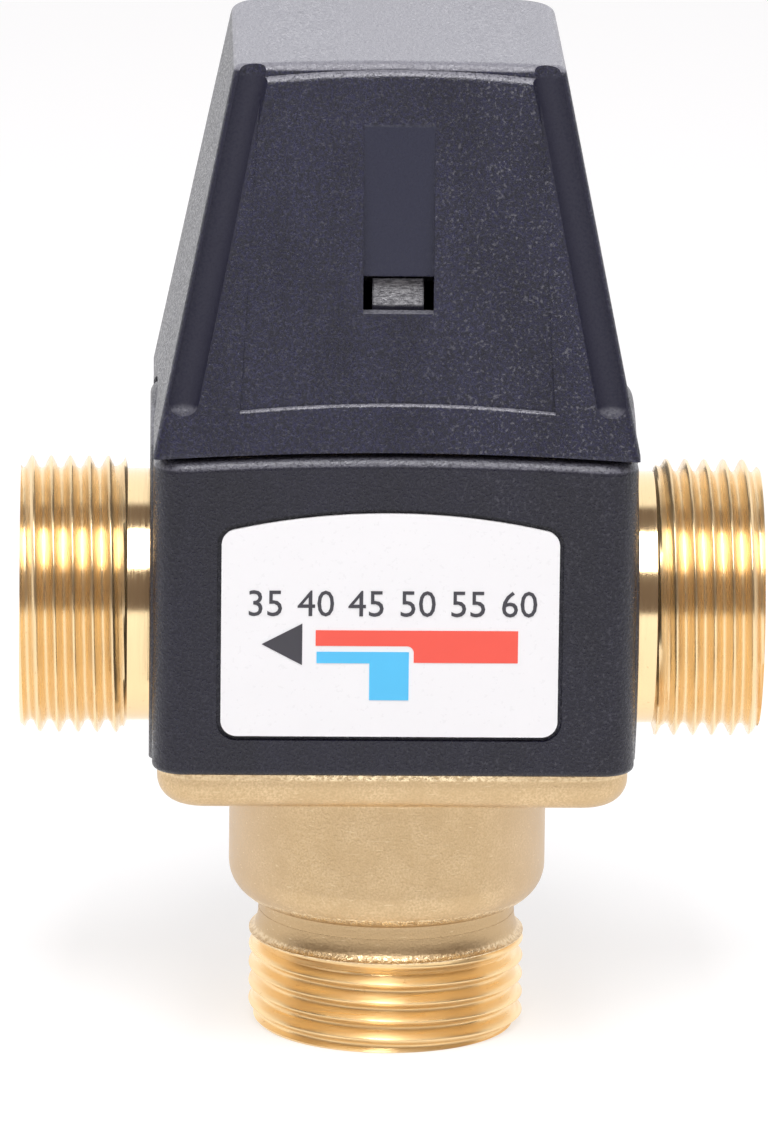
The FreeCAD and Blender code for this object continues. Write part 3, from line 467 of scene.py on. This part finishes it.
def grained_plastic(name, colour, roughness, marks=None, sparkle=1.0):
    """Black plastic with a pebbled grain; marks adds places with a finish of their own."""
    material, tree, shader, place = start_finish(name, colour, roughness)
    pebbles = noise(tree, place, PEBBLE_SIZE, detail=2.0, roughness=0.6)
    fine = noise(tree, place, 0.12, detail=1.0)
    clouds = noise(tree, place, 5.0, detail=2.0, stretch=(1.0, 1.0, 0.3))
    height = do_math(tree, "MULTIPLY_ADD", fine, 0.35, pebbles)
    dark = tuple(channel * (1.0 - 0.50 * sparkle) for channel in colour)
    pale = tuple(channel * (1.0 + 0.90 * sparkle) for channel in colour)
    tone = mix_colour(tree, ramp(tree, height, 0.50, 0.90), (*dark, 1.0), (*pale, 1.0))
    # Painted highlight: glints are paler spots in the colour, stronger towards +X.
    glints = ramp(tree, noise(tree, place, 0.30, detail=2.0), 0.56, 0.72, 0.0, 0.6 * sparkle)
    glints_stronger_right = ramp(tree, split_axes(tree, place)[0], -2.0, 12.0, 0.6, 1.6)
    glints = do_math(tree, "MULTIPLY", glints, glints_stronger_right)
    tone = mix_colour(tree, glints, tone, GLINT_TONE)
    shade = mix_colour(tree, ramp(tree, clouds, 0.3, 0.7), SHADE_DARK, SHADE_PALE)
    tone = mix_colour(tree, 1.0, tone, shade, "MULTIPLY")
    gloss = ramp(tree, pebbles, 0.3, 0.7, roughness * 1.7, roughness * 0.6)
    if marks is not None:
        tone, height, gloss = marks(tree, place, tone, height, gloss)
    tree.links.new(tone, shader.inputs["Base Color"])
    tree.links.new(gloss, shader.inputs["Roughness"])
    add_relief(tree, shader, height, 0.07)
    return material


# Mask for a painted highlight: edges that face up towards the lamps are painted paler.
def rubbed_edge(tree, place, low, high, tilt_low, tilt_high, least=0.25):
    """1 on edges between two heights that face up by more than tilt_low, broken up by nicks."""
    facing = add_node(tree, "ShaderNodeTexCoord").outputs["Normal"]
    tilt = split_axes(tree, facing)[2]
    here = do_math(tree, "MULTIPLY", ramp(tree, tilt, tilt_low, tilt_high),
                   inside_band(tree, split_axes(tree, place)[2], low, high))
    nicks = noise(tree, place, 0.30, detail=2.0, roughness=0.7)
    return do_math(tree, "MULTIPLY", here, ramp(tree, nicks, 0.30, 0.58, least, 1.0))


def on_front(tree, place, half_width, low, high):
    """1 in a box on the front, half_width to each side and between two heights."""
    across, depth, level = split_axes(tree, place)
    across = do_math(tree, "ABSOLUTE", across)
    box = do_math(tree, "MULTIPLY", inside_band(tree, across, -half_width, half_width),
                  inside_band(tree, level, low, high))
    return do_math(tree, "MULTIPLY", box, ramp(tree, depth, FRONT_START, FRONT_END, 1.0, 0.0))


# %% Marks of the cap: smooth groove, dull flutes with painted shade, painted highlight on edges
GROOVE_HALF, GROOVE_LOW, GROOVE_HIGH = 3.3, 77.3, 91.4
FLUTE_LOW, FLUTE_HIGH, FLUTE_OUTER, FLUTE_INNER = 64.9, 95.9, 0.3, 3.2
SEAM_HEIGHT, SEAM_HALF, SIDE_SLOPE = 61.0, 22.7, 0.2044
GROOVE_TONE = (0.0165, 0.0180, 0.0410, 1.0)
FLUTE_PAINTED_SHADE = (0.0125, 0.0125, 0.029, 1.0)
LEDGE_PAINTED_HIGHLIGHT = (0.24, 0.24, 0.28, 1.0)


def mark_cap(tree, place, tone, height, gloss):
    across, depth, level = split_axes(tree, place)
    across = do_math(tree, "ABSOLUTE", across)
    front = ramp(tree, depth, FRONT_START, FRONT_END, 1.0, 0.0)
    groove = on_front(tree, place, GROOVE_HALF, GROOVE_LOW, GROOVE_HIGH)
    side_here = do_math(tree, "MULTIPLY_ADD", level, -SIDE_SLOPE,
                        SEAM_HALF + SIDE_SLOPE * SEAM_HEIGHT)
    from_side = do_math(tree, "SUBTRACT", side_here, across)
    flutes = do_math(tree, "MULTIPLY", inside_band(tree, from_side, FLUTE_OUTER, FLUTE_INNER, 0.3),
                     inside_band(tree, level, FLUTE_LOW, FLUTE_HIGH, 0.3))
    flutes = do_math(tree, "MULTIPLY", flutes, front)
    grain = do_math(tree, "SUBTRACT", 1.0, do_math(tree, "MAXIMUM", groove, flutes))
    tone = mix_colour(tree, groove, tone, GROOVE_TONE)
    # Painted shade: the flutes are painted darker, as shade in their hollows.
    tone = mix_colour(tree, flutes, tone, FLUTE_PAINTED_SHADE)
    # Painted highlight: up-facing ledges and the top rim are painted paler, less near the flutes.
    ledges = rubbed_edge(tree, place, 62.0, 96.4, 0.30, 0.55)
    ledges = do_math(tree, "MULTIPLY", ledges, ramp(tree, across, 14.0, 16.5, 1.0, 0.30))
    rim = rubbed_edge(tree, place, 96.3, 98.0, 0.20, 0.40, least=0.7)
    tone = mix_colour(tree, do_math(tree, "MAXIMUM", ledges, rim), tone, LEDGE_PAINTED_HIGHLIGHT)
    gloss = do_math(tree, "MULTIPLY_ADD", flutes, 0.25, gloss)
    return tone, do_math(tree, "MULTIPLY", height, grain), gloss


# %% Marks of the cover: painted highlight on the lip under the seam, scuffed latch nose
LIP_LOW, LIP_HIGH = 59.0, 61.5
NOSE_HALF, NOSE_LOW, NOSE_HIGH = 2.3, 74.4, 76.8
LIP_PAINTED_HIGHLIGHT = (0.13, 0.13, 0.16, 1.0)
SCUFF_TONE = (0.34, 0.34, 0.36, 1.0)


def mark_cover(tree, place, tone, height, gloss):
    lip = rubbed_edge(tree, place, LIP_LOW, LIP_HIGH, 0.12, 0.35)
    nose = on_front(tree, place, NOSE_HALF, NOSE_LOW, NOSE_HIGH)
    scuffs = noise(tree, place, 0.30, detail=3.0, stretch=(0.5, 1.0, 2.0), roughness=0.7)
    nose = do_math(tree, "MULTIPLY", nose, ramp(tree, scuffs, 0.36, 0.62, 0.25, 1.0))
    # Painted highlight: the lip faces up and is painted paler.
    tone = mix_colour(tree, lip, tone, LIP_PAINTED_HIGHLIGHT)
    tone = mix_colour(tree, nose, tone, SCUFF_TONE)
    return tone, height, gloss


plastic_cover = grained_plastic("cover_plastic", (0.0062, 0.0058, 0.0165), 0.30, mark_cover, 0.35)
plastic_cap = grained_plastic("cap_plastic", (0.0165, 0.0170, 0.0355), 0.31, mark_cap)
plastic_knob = grained_plastic("knob_plastic", (0.040, 0.040, 0.045), 0.36)
print("plastic finishes ready")


# %% Small finishes: label, inks, rubber, steel, copper
CLOUDS_TO_GRAIN = 12.0


def speckled(name, colour, roughness, metallic, grain, depth, vary=0.12):
    """Plain finish with slow colour change, uneven gloss and a fine relief."""
    material, tree, shader, place = start_finish(name, colour, roughness, metallic)
    slow = noise(tree, place, grain * CLOUDS_TO_GRAIN, detail=2.0)
    fine = noise(tree, place, grain, detail=2.0)
    low = tuple(channel * (1.0 - vary) for channel in colour)
    tone = mix_colour(tree, slow, (*low, 1.0), (*colour, 1.0))
    tree.links.new(tone, shader.inputs["Base Color"])
    tree.links.new(ramp(tree, fine, 0.3, 0.7, roughness * 0.85, roughness * 1.15),
                   shader.inputs["Roughness"])
    add_relief(tree, shader, fine, depth)
    return material


label_white = speckled("label_white", (0.89, 0.89, 0.91), 0.32, 0.0, 0.4, 0.004, vary=0.02)
ink_black = speckled("ink_black", (0.050, 0.048, 0.060), 0.42, 0.0, 0.25, 0.004)
ink_red = speckled("ink_red", (0.92, 0.105, 0.072), 0.38, 0.0, 0.25, 0.004, vary=0.05)
ink_blue = speckled("ink_blue", (0.095, 0.56, 0.94), 0.38, 0.0, 0.25, 0.004, vary=0.05)
ink_white = speckled("ink_white", (0.78, 0.78, 0.76), 0.45, 0.0, 0.25, 0.004, vary=0.05)
rubber = speckled("black_rubber", (0.018, 0.018, 0.019), 0.55, 0.0, 0.3, 0.01)
spring_steel = speckled("spring_steel", (0.60, 0.60, 0.61), 0.24, 1.0, 0.2, 0.006)
screw_steel = speckled("screw_steel", (0.66, 0.66, 0.67), 0.28, 1.0, 0.2, 0.006)
copper = speckled("drawn_copper", (0.80, 0.42, 0.27), 0.34, 1.0, 0.3, 0.008)
print("small finishes ready")

# %% [markdown]
# ### Dressing the solids that stay
#
# Most solids keep the mesh that CAD gave them. Their finish goes into the material slots of the
# packed objects, and nothing else of those objects is touched.

# %% Finish of every kept solid
FINISH_OF_NODE = {
    "lower_cover": plastic_cover, "cap": plastic_cap, "adjusting_knob": plastic_knob,
    "flow_label": label_white, "bonnet": brass_turned_z, "spindle": brass_turned_z,
    "carriage": brass_turned_z, "overload_cup": brass_turned_z, "shuttle": brass_turned_z,
    "bonnet_o_ring": rubber, "spindle_o_ring_lower": rubber, "spindle_o_ring_upper": rubber,
    "hot_seal_ring": rubber, "spindle_circlip": spring_steel, "carriage_circlip": spring_steel,
    "knob_screw": screw_steel, "element_piston": screw_steel, "wax_capsule": copper,
}


def dress(node, finish):
    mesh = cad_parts[node].data
    mesh.materials.clear()
    mesh.materials.append(finish)


for node_name, finish in FINISH_OF_NODE.items():
    dress(node_name, finish)
print("dressed", len(FINISH_OF_NODE), "solids")

# %% [markdown]
# ## The pipe threads
#
# A pipe thread is one ridge that winds round the port. It could be cut with a boolean, or made by
# the Screw modifier, but a grid is simplest and always closes: take the ridge's profile over one
# pitch, sweep it along the helix, and clamp what runs past the ends of the port. Because the grid
# follows the helix, each crest is a clean line of vertices. The first turn is limited by the
# chamfer at the port's end. The last groove gets shallower and then steps down to the neck, where
# the die stopped.

# %% Sizes of the thread
PITCH = 25.4 / 14.0
CREST_RADIUS = 13.2205
ROOT_RADIUS = 12.04
CREST_ROUND = 0.17
ROOT_ROUND = 0.34
FLANK = math.radians(27.5)
BORE_RADIUS = 9.48
BORE_CHAMFER = 0.5
END_RADIUS = 12.3
STEP_LENGTH = 0.25           # from the last groove down to the neck
LAST_GROOVE_LENGTH = 1.5
LAST_GROOVE_RISE = 0.75      # how much shallower the last groove ends


def thread_profile(offset):
    """Radius at a distance along the axis from the crest's middle, over half a pitch."""
    tip = CREST_ROUND * math.cos(FLANK)
    foot = PITCH / 2 - ROOT_ROUND * math.cos(FLANK)
    if offset <= tip:
        return CREST_RADIUS - CREST_ROUND + math.sqrt(CREST_ROUND ** 2 - offset ** 2)
    if offset >= foot:
        rest = PITCH / 2 - offset
        return ROOT_RADIUS + ROOT_ROUND - math.sqrt(ROOT_ROUND ** 2 - rest ** 2)
    tip_drop = CREST_ROUND * (1 - math.sin(FLANK))
    return CREST_RADIUS - tip_drop - (offset - tip) / math.tan(FLANK)


# columns of vertices over one pitch: close together on the crest's round and the root's
SIDE_OFFSETS = [0.06, 0.124, 0.36, 0.6056, 0.76]
PROFILE_OFFSETS = [-offset for offset in reversed(SIDE_OFFSETS)] + [0.0] + SIDE_OFFSETS
PROFILE_OFFSETS.append(PITCH / 2)
print("thread depth", round(CREST_RADIUS - ROOT_RADIUS, 2), "mm, pitch", round(PITCH, 3), "mm")


# %% Radius of the threaded surface
def threaded_radius(depth, offset, port):
    """Radius at a depth from the end face; offset is how far the nearest crest is."""
    if depth <= 0.0:
        return END_RADIUS
    if depth >= port["thread"]:
        return port["neck"]
    to_neck = port["thread"] - depth
    groove_floor = ROOT_RADIUS + LAST_GROOVE_RISE * max(0.0, 1.0 - to_neck / LAST_GROOVE_LENGTH)
    radius = max(min(thread_profile(abs(offset)), END_RADIUS + depth), groove_floor)
    fade = min(1.0, to_neck / STEP_LENGTH)
    return port["neck"] + (radius - port["neck"]) * fade


def thread_column(share, port):
    """Points (radius, depth) down the outside at one angle, share of a turn from the start."""
    turns = int(port["thread"] / PITCH) + 3
    points = []
    for turn in range(-2, turns):
        for offset in PROFILE_OFFSETS:
            depth = port["first_crest"] + (turn - share) * PITCH + offset
            held = min(max(depth, 0.0), port["thread"])
            points.append((threaded_radius(depth, offset, port), held))
    return points


print("points down one pitch:", len(PROFILE_OFFSETS))


# %% Join the columns into a closed sleeve
STEPS_ROUND = 168
WELD_DISTANCE = 2e-7         # metres
SHARP_ANGLE = math.radians(38.0)


def add_face(mesh, *corners):
    """Face over its corners, or nothing where clamping has drawn it to a line."""
    kept = list(dict.fromkeys(corners))
    spots = {tuple(round(value, 8) for value in corner.co) for corner in kept}
    if len(kept) > 2 and len(spots) > 2:
        mesh.faces.new(kept)


def join_columns(mesh, column, beside, shift, tail):
    """Strip between two columns; the last tail points of each are plain rings."""
    last = len(column) - tail - 1
    for row in range(last - shift):
        add_face(mesh, column[row + shift], column[row + shift + 1], beside[row + 1], beside[row])
    add_face(mesh, column[last], column[last + 1], beside[last + 1], beside[last - shift])
    for row in range(last + 1, len(column) - 1):
        add_face(mesh, column[row], column[row + 1], beside[row + 1], beside[row])
    add_face(mesh, column[-1], column[shift], beside[0], beside[-1])


def port_sleeve(name, port):
    """Turned end of one port: thread outside, plain neck behind it, chamfered bore inside."""
    side, up, outward = port["axes"]
    mesh = bmesh.new()
    columns = []
    rings = port["shoulder"] + [(BORE_RADIUS, port["shoulder"][-1][1]),
                                (BORE_RADIUS, BORE_CHAMFER), (BORE_RADIUS + BORE_CHAMFER, 0.0)]
    for step in range(STEPS_ROUND):
        share = step / STEPS_ROUND
        out = side * math.cos(2 * math.pi * share) + up * math.sin(2 * math.pi * share)
        columns.append([mesh.verts.new((out * radius + outward * (port["reach"] - depth)) * MM)
                        for radius, depth in thread_column(share, port) + rings])
    for column, beside in zip(columns, columns[1:]):
        join_columns(mesh, column, beside, 0, len(rings))
    # the helix climbs one pitch in a full turn, so the last strip joins one pitch along
    join_columns(mesh, columns[-1], columns[0], len(PROFILE_OFFSETS), len(rings))
    bmesh.ops.remove_doubles(mesh, verts=mesh.verts, dist=WELD_DISTANCE)
    bmesh.ops.recalc_face_normals(mesh, faces=mesh.faces)
    bmesh.ops.translate(mesh, verts=mesh.verts, vec=(0.0, 0.0, port["height"] * MM))
    data = bpy.data.meshes.new(name)
    mesh.to_mesh(data)
    mesh.free()
    data.shade_smooth()
    data.set_sharp_from_angle(angle=SHARP_ANGLE)
    return data


print("steps round a port:", STEPS_ROUND)


# %% The three ports
X_AXIS, Y_AXIS, Z_AXIS = Vector((1, 0, 0)), Vector((0, 1, 0)), Vector((0, 0, 1))
BODY_LOW, BODY_HIGH = (Vector(corner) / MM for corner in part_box("valve_body"))
PORT_HEIGHT = 42.0
NECK_RADIUS = 12.05
# thread: its length; neck: radius behind it; shoulder: (radius, depth) rings further in
SIDE_PORT = {"thread": 10.2, "neck": NECK_RADIUS, "reach": BODY_HIGH.x, "height": PORT_HEIGHT,
             "shoulder": [(NECK_RADIUS, 10.3), (NECK_RADIUS, 15.3)]}

# the cold thread ends at a collar that flares down to the forged waist in a quarter ellipse
FLARE_START, FLARE_END, FLARE_STEPS, WAIST_RADIUS = 9.1, 11.2, 6, 12.32
flare = []
for step in range(FLARE_STEPS + 1):
    turn = math.radians(90.0 * step / FLARE_STEPS)
    flare.append((WAIST_RADIUS + (CREST_RADIUS - WAIST_RADIUS) * (1.0 - math.sin(turn)),
                  FLARE_START + (FLARE_END - FLARE_START) * (1.0 - math.cos(turn))))

PORTS = {
    "cold_thread": {"axes": (-Y_AXIS, X_AXIS, -Z_AXIS), "thread": 9.0, "neck": CREST_RADIUS,
                    "reach": 0.0, "height": 0.0, "first_crest": 1.5, "shoulder": flare},
    "hot_thread": {**SIDE_PORT, "axes": (Z_AXIS, -Y_AXIS, X_AXIS), "first_crest": 1.6},
    "mixed_thread": {**SIDE_PORT, "axes": (Z_AXIS, Y_AXIS, -X_AXIS), "first_crest": 1.1},
}
print("collar flares from", CREST_RADIUS, "to", WAIST_RADIUS, "mm")


# %% Build the threaded sleeves
def new_piece(name, data, finishes):
    """Object from a mesh, linked to the scene, with its finishes."""
    piece = bpy.data.objects.new(name, data)
    bpy.context.scene.collection.objects.link(piece)
    data.materials.clear()
    for finish in finishes:
        data.materials.append(finish)
    return piece


def build_ports():
    for name, port in PORTS.items():
        data = port_sleeve(name, port)
        if name == "cold_thread":
            finishes = [brass_thread_z, brass_blasted]
        else:
            finishes = [brass_thread_x, brass_turned_x]
        sleeve = new_piece(name, data, finishes)
        outward = port["axes"][2]
        for face in data.polygons:
            depth = port["reach"] - face.center.dot(outward) / MM
            if depth > port["thread"]:
                face.material_index = 1
        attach(sleeve, "valve")
        print(name, len(data.polygons), "faces")


build_ports()

# %% [markdown]
# ## The forged body
#
# The body keeps the CAD shape, but its ports carry plain cylinders where the threads now sit. The
# cylinders could be cut off with a boolean, which is slow and may leave slivers. Instead a copy of
# the mesh is taken, and every vertex in a thread's stretch is drawn in to lie just under the
# roots. The copy takes the solid's place, and the solid is hidden. The copy replaces the solid,
# which stays in the physics model.

# %% Body mesh with room for the threads
def make_piece(name, data, body, finish):
    """Piece of one finish that rides on a body."""
    piece = new_piece(name, data, [finish])
    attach(piece, body)
    return piece


HIDDEN_RADIUS = 11.85
ZONE_RADIUS = 13.4
ZONE_MARGIN = 0.1
END_SINK = 0.3
# port's axis, the two axes across it, and where its thread's stretch starts and ends
PORT_ZONES = ((2, (0, 1), 0.0, 9.3), (0, (1, 2), 20.0, 36.0), (0, (1, 2), -36.0, -20.0))


def build_body():
    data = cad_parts["valve_body"].data.copy()
    data.name = "brass_body"
    places = np.empty(len(data.vertices) * 3)
    data.vertices.foreach_get("co", places)
    places = places.reshape(-1, 3) / MM
    for axis, across, low, high in PORT_ZONES:
        middle = np.array((0.0, 0.0) if axis == 2 else (0.0, PORT_HEIGHT))
        offset = places[:, across] - middle
        radius = np.hypot(offset[:, 0], offset[:, 1])
        along = places[:, axis]
        held = (along > low - ZONE_MARGIN) & (along < high + ZONE_MARGIN)
        held &= (radius > HIDDEN_RADIUS) & (radius < ZONE_RADIUS)
        scale = np.where(held, HIDDEN_RADIUS / np.maximum(radius, 1e-6), 1.0)
        places[:, across] = middle + offset * scale[:, None]
    places[:, 0] = np.clip(places[:, 0], BODY_LOW.x + END_SINK, BODY_HIGH.x - END_SINK)
    places[:, 2] = np.maximum(places[:, 2], END_SINK)
    data.vertices.foreach_set("co", (places * MM).ravel())
    data.update()
    piece = make_piece("brass_body", data, "valve", brass_blasted)
    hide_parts("valve_body")
    print("body", len(data.polygons), "faces")


build_body()

# %% [markdown]
# ### Springs that give
# ### The springs
#
# The overload spring is squeezed when the wax pushes past its set point. The return spring stands
# in the body and gives twice: when the knob drives the carriage down, and when the wax moves the
# shuttle in the carriage. Each spring here is a copy of its solid in spring steel, with its
# transform baked into its mesh. The return spring is cut at half its height into a lower and an
# upper half, and each cut is closed.

# %% Helpers for springs
SEAM_WELD = 5e-7             # metres


def copy_spring(name, node):
    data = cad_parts[node].data.copy()
    data.name = name
    piece = new_piece(name, data, [spring_steel])
    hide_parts(node)
    return piece


def cut_level(piece, level, keep_above):
    """Cut a closed mesh at a height in metres, and close the cut."""
    mesh = bmesh.new()
    mesh.from_mesh(piece.data)
    bmesh.ops.remove_doubles(mesh, verts=mesh.verts[:], dist=SEAM_WELD)
    everything = mesh.verts[:] + mesh.edges[:] + mesh.faces[:]
    bmesh.ops.bisect_plane(mesh, geom=everything, plane_co=(0.0, 0.0, level),
                           plane_no=(0.0, 0.0, 1.0), clear_inner=keep_above,
                           clear_outer=not keep_above)
    bmesh.ops.holes_fill(mesh, edges=[edge for edge in mesh.edges if edge.is_boundary])
    mesh.to_mesh(piece.data)
    mesh.free()


def bend_along(piece, low, high):
    """Bake a piece's transform into its mesh, and print the span between two heights in metres."""
    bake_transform(piece)
    print(piece.name, "bends over", round((high - low) / MM, 2), "mm")


# %% Overload spring and return spring
OVERLOAD_WIRE = 1.3
RETURN_WIRE = 1.2

spring_low, spring_high = (corner.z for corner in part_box("overload_spring"))
overload_coil = copy_spring("overload_coil", "overload_spring")
bend_along(overload_coil,
           spring_low + OVERLOAD_WIRE * MM, spring_high - OVERLOAD_WIRE * MM)

spring_low, spring_high = (corner.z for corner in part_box("return_spring"))
spring_middle = (spring_low + spring_high) / 2
return_lower = copy_spring("return_coil_lower", "return_spring")
cut_level(return_lower, spring_middle, keep_above=False)
bend_along(return_lower, spring_low + RETURN_WIRE * MM, spring_middle)
return_upper = copy_spring("return_coil_upper", "return_spring")
cut_level(return_upper, spring_middle, keep_above=True)
bend_along(return_upper, spring_middle, spring_high - RETURN_WIRE * MM)

# %% [markdown]
# ## The flow symbol
#
# The label shows how the water runs: red for hot from the right, blue for cold from below, and a
# black arrowhead where the mixed water leaves. Printed ink stands a few hundredths of a millimetre
# proud, so each colour is a thin plate cut from an outline. Outlines are lists of (x, z) in
# millimetres, and the only round corner is worked out.

# %% Helper for printed shapes
LABEL_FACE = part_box("flow_label")[0][1] / MM
INK_HEIGHT = 0.05
INK_ROOT = 0.02              # how far ink reaches into the label, so that no gap shows


def printed_shape(name, outline, ink):
    """Thin plate over an outline of (x, z) points that stands on the label."""
    mesh = bmesh.new()
    back = [mesh.verts.new((x * MM, (LABEL_FACE + INK_ROOT) * MM, z * MM)) for x, z in outline]
    face = mesh.faces.new(back)
    grown = bmesh.ops.extrude_face_region(mesh, geom=[face])
    raised = [item for item in grown["geom"] if isinstance(item, bmesh.types.BMVert)]
    bmesh.ops.translate(mesh, verts=raised, vec=(0.0, -(INK_HEIGHT + INK_ROOT) * MM, 0.0))
    bmesh.ops.recalc_face_normals(mesh, faces=mesh.faces)
    data = bpy.data.meshes.new(name)
    mesh.to_mesh(data)
    mesh.free()
    make_piece(name, data, "valve", ink)


def quarter_round(middle, radius, start, steps=8):
    """Points of a quarter circle, clockwise from an angle in degrees."""
    points = []
    for step in range(steps + 1):
        angle = math.radians(start - 90.0 * step / steps)
        points.append((middle[0] + radius * math.cos(angle), middle[1] + radius * math.sin(angle)))
    return points


print("ink stands", INK_HEIGHT, "mm proud")


# %% Arrowhead, hot bar and cold bar
ARROW_LEFT, ARROW_RIGHT, ARROW_LOW, ARROW_HIGH = -12.5, -8.7, 40.8, 44.8
HOT_LEFT, HOT_RIGHT, HOT_TOP, HOT_THIN, HOT_THICK = -7.45, 11.5, 44.17, 42.67, 41.08
HOT_STEP, HOT_ROUND = 1.75, 0.65
COLD_LEFT, COLD_LEG, COLD_RIGHT, COLD_TOP, COLD_THIN, COLD_FOOT = -7.35, -2.4, 1.3, 42.1, 41.0, 37.45

printed_shape("mixed_arrow", [(ARROW_LEFT, (ARROW_LOW + ARROW_HIGH) / 2),
                              (ARROW_RIGHT, ARROW_LOW), (ARROW_RIGHT, ARROW_HIGH)], ink_black)
hot_corner = quarter_round((HOT_STEP - HOT_ROUND, HOT_THIN - HOT_ROUND), HOT_ROUND, 90.0)
printed_shape("hot_bar", [(HOT_LEFT, HOT_TOP), (HOT_LEFT, HOT_THIN), *hot_corner,
                          (HOT_STEP, HOT_THICK), (HOT_RIGHT, HOT_THICK), (HOT_RIGHT, HOT_TOP)],
              ink_red)
printed_shape("cold_bar", [(COLD_LEFT, COLD_TOP), (COLD_LEFT, COLD_THIN), (COLD_LEG, COLD_THIN),
                           (COLD_LEG, COLD_FOOT), (COLD_RIGHT, COLD_FOOT),
                           (COLD_RIGHT, COLD_TOP)], ink_blue)
print("flow symbol printed at y", round(LABEL_FACE - INK_HEIGHT, 2), "mm")

# %% [markdown]
# ## Numbers
#
# A plain row of degrees stands above the symbol, and the knob under the cap has the settings 1 to
# 6 round its top. Both are text objects turned into meshes, because the model has to carry them
# as geometry. A text object makes its own outlines, so no letter is drawn by hand.

# %% Helper for raised numbers
DIGIT_SHARE = 0.73           # height of a digit, as a share of the font's size


def raised_number(name, word, height, thickness, placing, body, ink):
    """Word as a solid mesh; placing is a matrix in millimetres from the page to the object."""
    curve = bpy.data.curves.new(name, "FONT")
    curve.body = word
    curve.size = height / DIGIT_SHARE
    curve.align_x = "CENTER"
    curve.align_y = "CENTER"
    curve.extrude = thickness / 2
    curve.resolution_u = 3
    writer = bpy.data.objects.new(name + "_writer", curve)
    bpy.context.scene.collection.objects.link(writer)
    bpy.context.view_layer.update()
    data = bpy.data.meshes.new_from_object(writer)
    data.name = name
    bpy.data.objects.remove(writer)
    data.transform(Matrix.Scale(MM, 4) @ placing)
    make_piece(name, data, body, ink)


# %% Degrees on the label, settings on the knob
SCALE_MIDDLE, SCALE_STEP, SCALE_HEIGHT, SCALE_LEVEL = -0.3, 4.75, 2.6, 46.6
SCALE_DEGREES = range(35, 65, 5)
scale_left = SCALE_MIDDLE - (len(SCALE_DEGREES) - 1) / 2 * SCALE_STEP
facing_front = Matrix.Rotation(math.radians(90.0), 4, "X")
for index, degrees in enumerate(SCALE_DEGREES):
    spot = Vector((scale_left + index * SCALE_STEP, LABEL_FACE - (INK_HEIGHT - INK_ROOT) / 2,
                   SCALE_LEVEL))
    raised_number(f"scale_{degrees}", str(degrees), SCALE_HEIGHT, INK_HEIGHT + INK_ROOT,
                  Matrix.Translation(spot) @ facing_front, "valve", ink_black)

KNOB_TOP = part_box("adjusting_knob")[1][2] / MM
SETTINGS = range(1, 7)
SETTING_RADIUS, SETTING_ANGLE, SETTING_HEIGHT, SETTING_THICKNESS = 10.2, 40.0, 2.4, 0.12
SETTING_RISE = 0.04          # middle of a raised number above the knob's top
middle_setting = (SETTINGS[0] + SETTINGS[-1]) / 2
for setting in SETTINGS:
    angle = math.radians(-SETTING_ANGLE * (setting - middle_setting))
    turn = Matrix.Rotation(angle, 4, "Z")
    spot = Vector((0.0, -SETTING_RADIUS, KNOB_TOP + SETTING_RISE))
    raised_number(f"setting_{setting}", str(setting), SETTING_HEIGHT, SETTING_THICKNESS,
                  turn @ Matrix.Translation(spot), "knob", ink_white)
print(len(SCALE_DEGREES), "degrees and", len(SETTINGS), "settings")
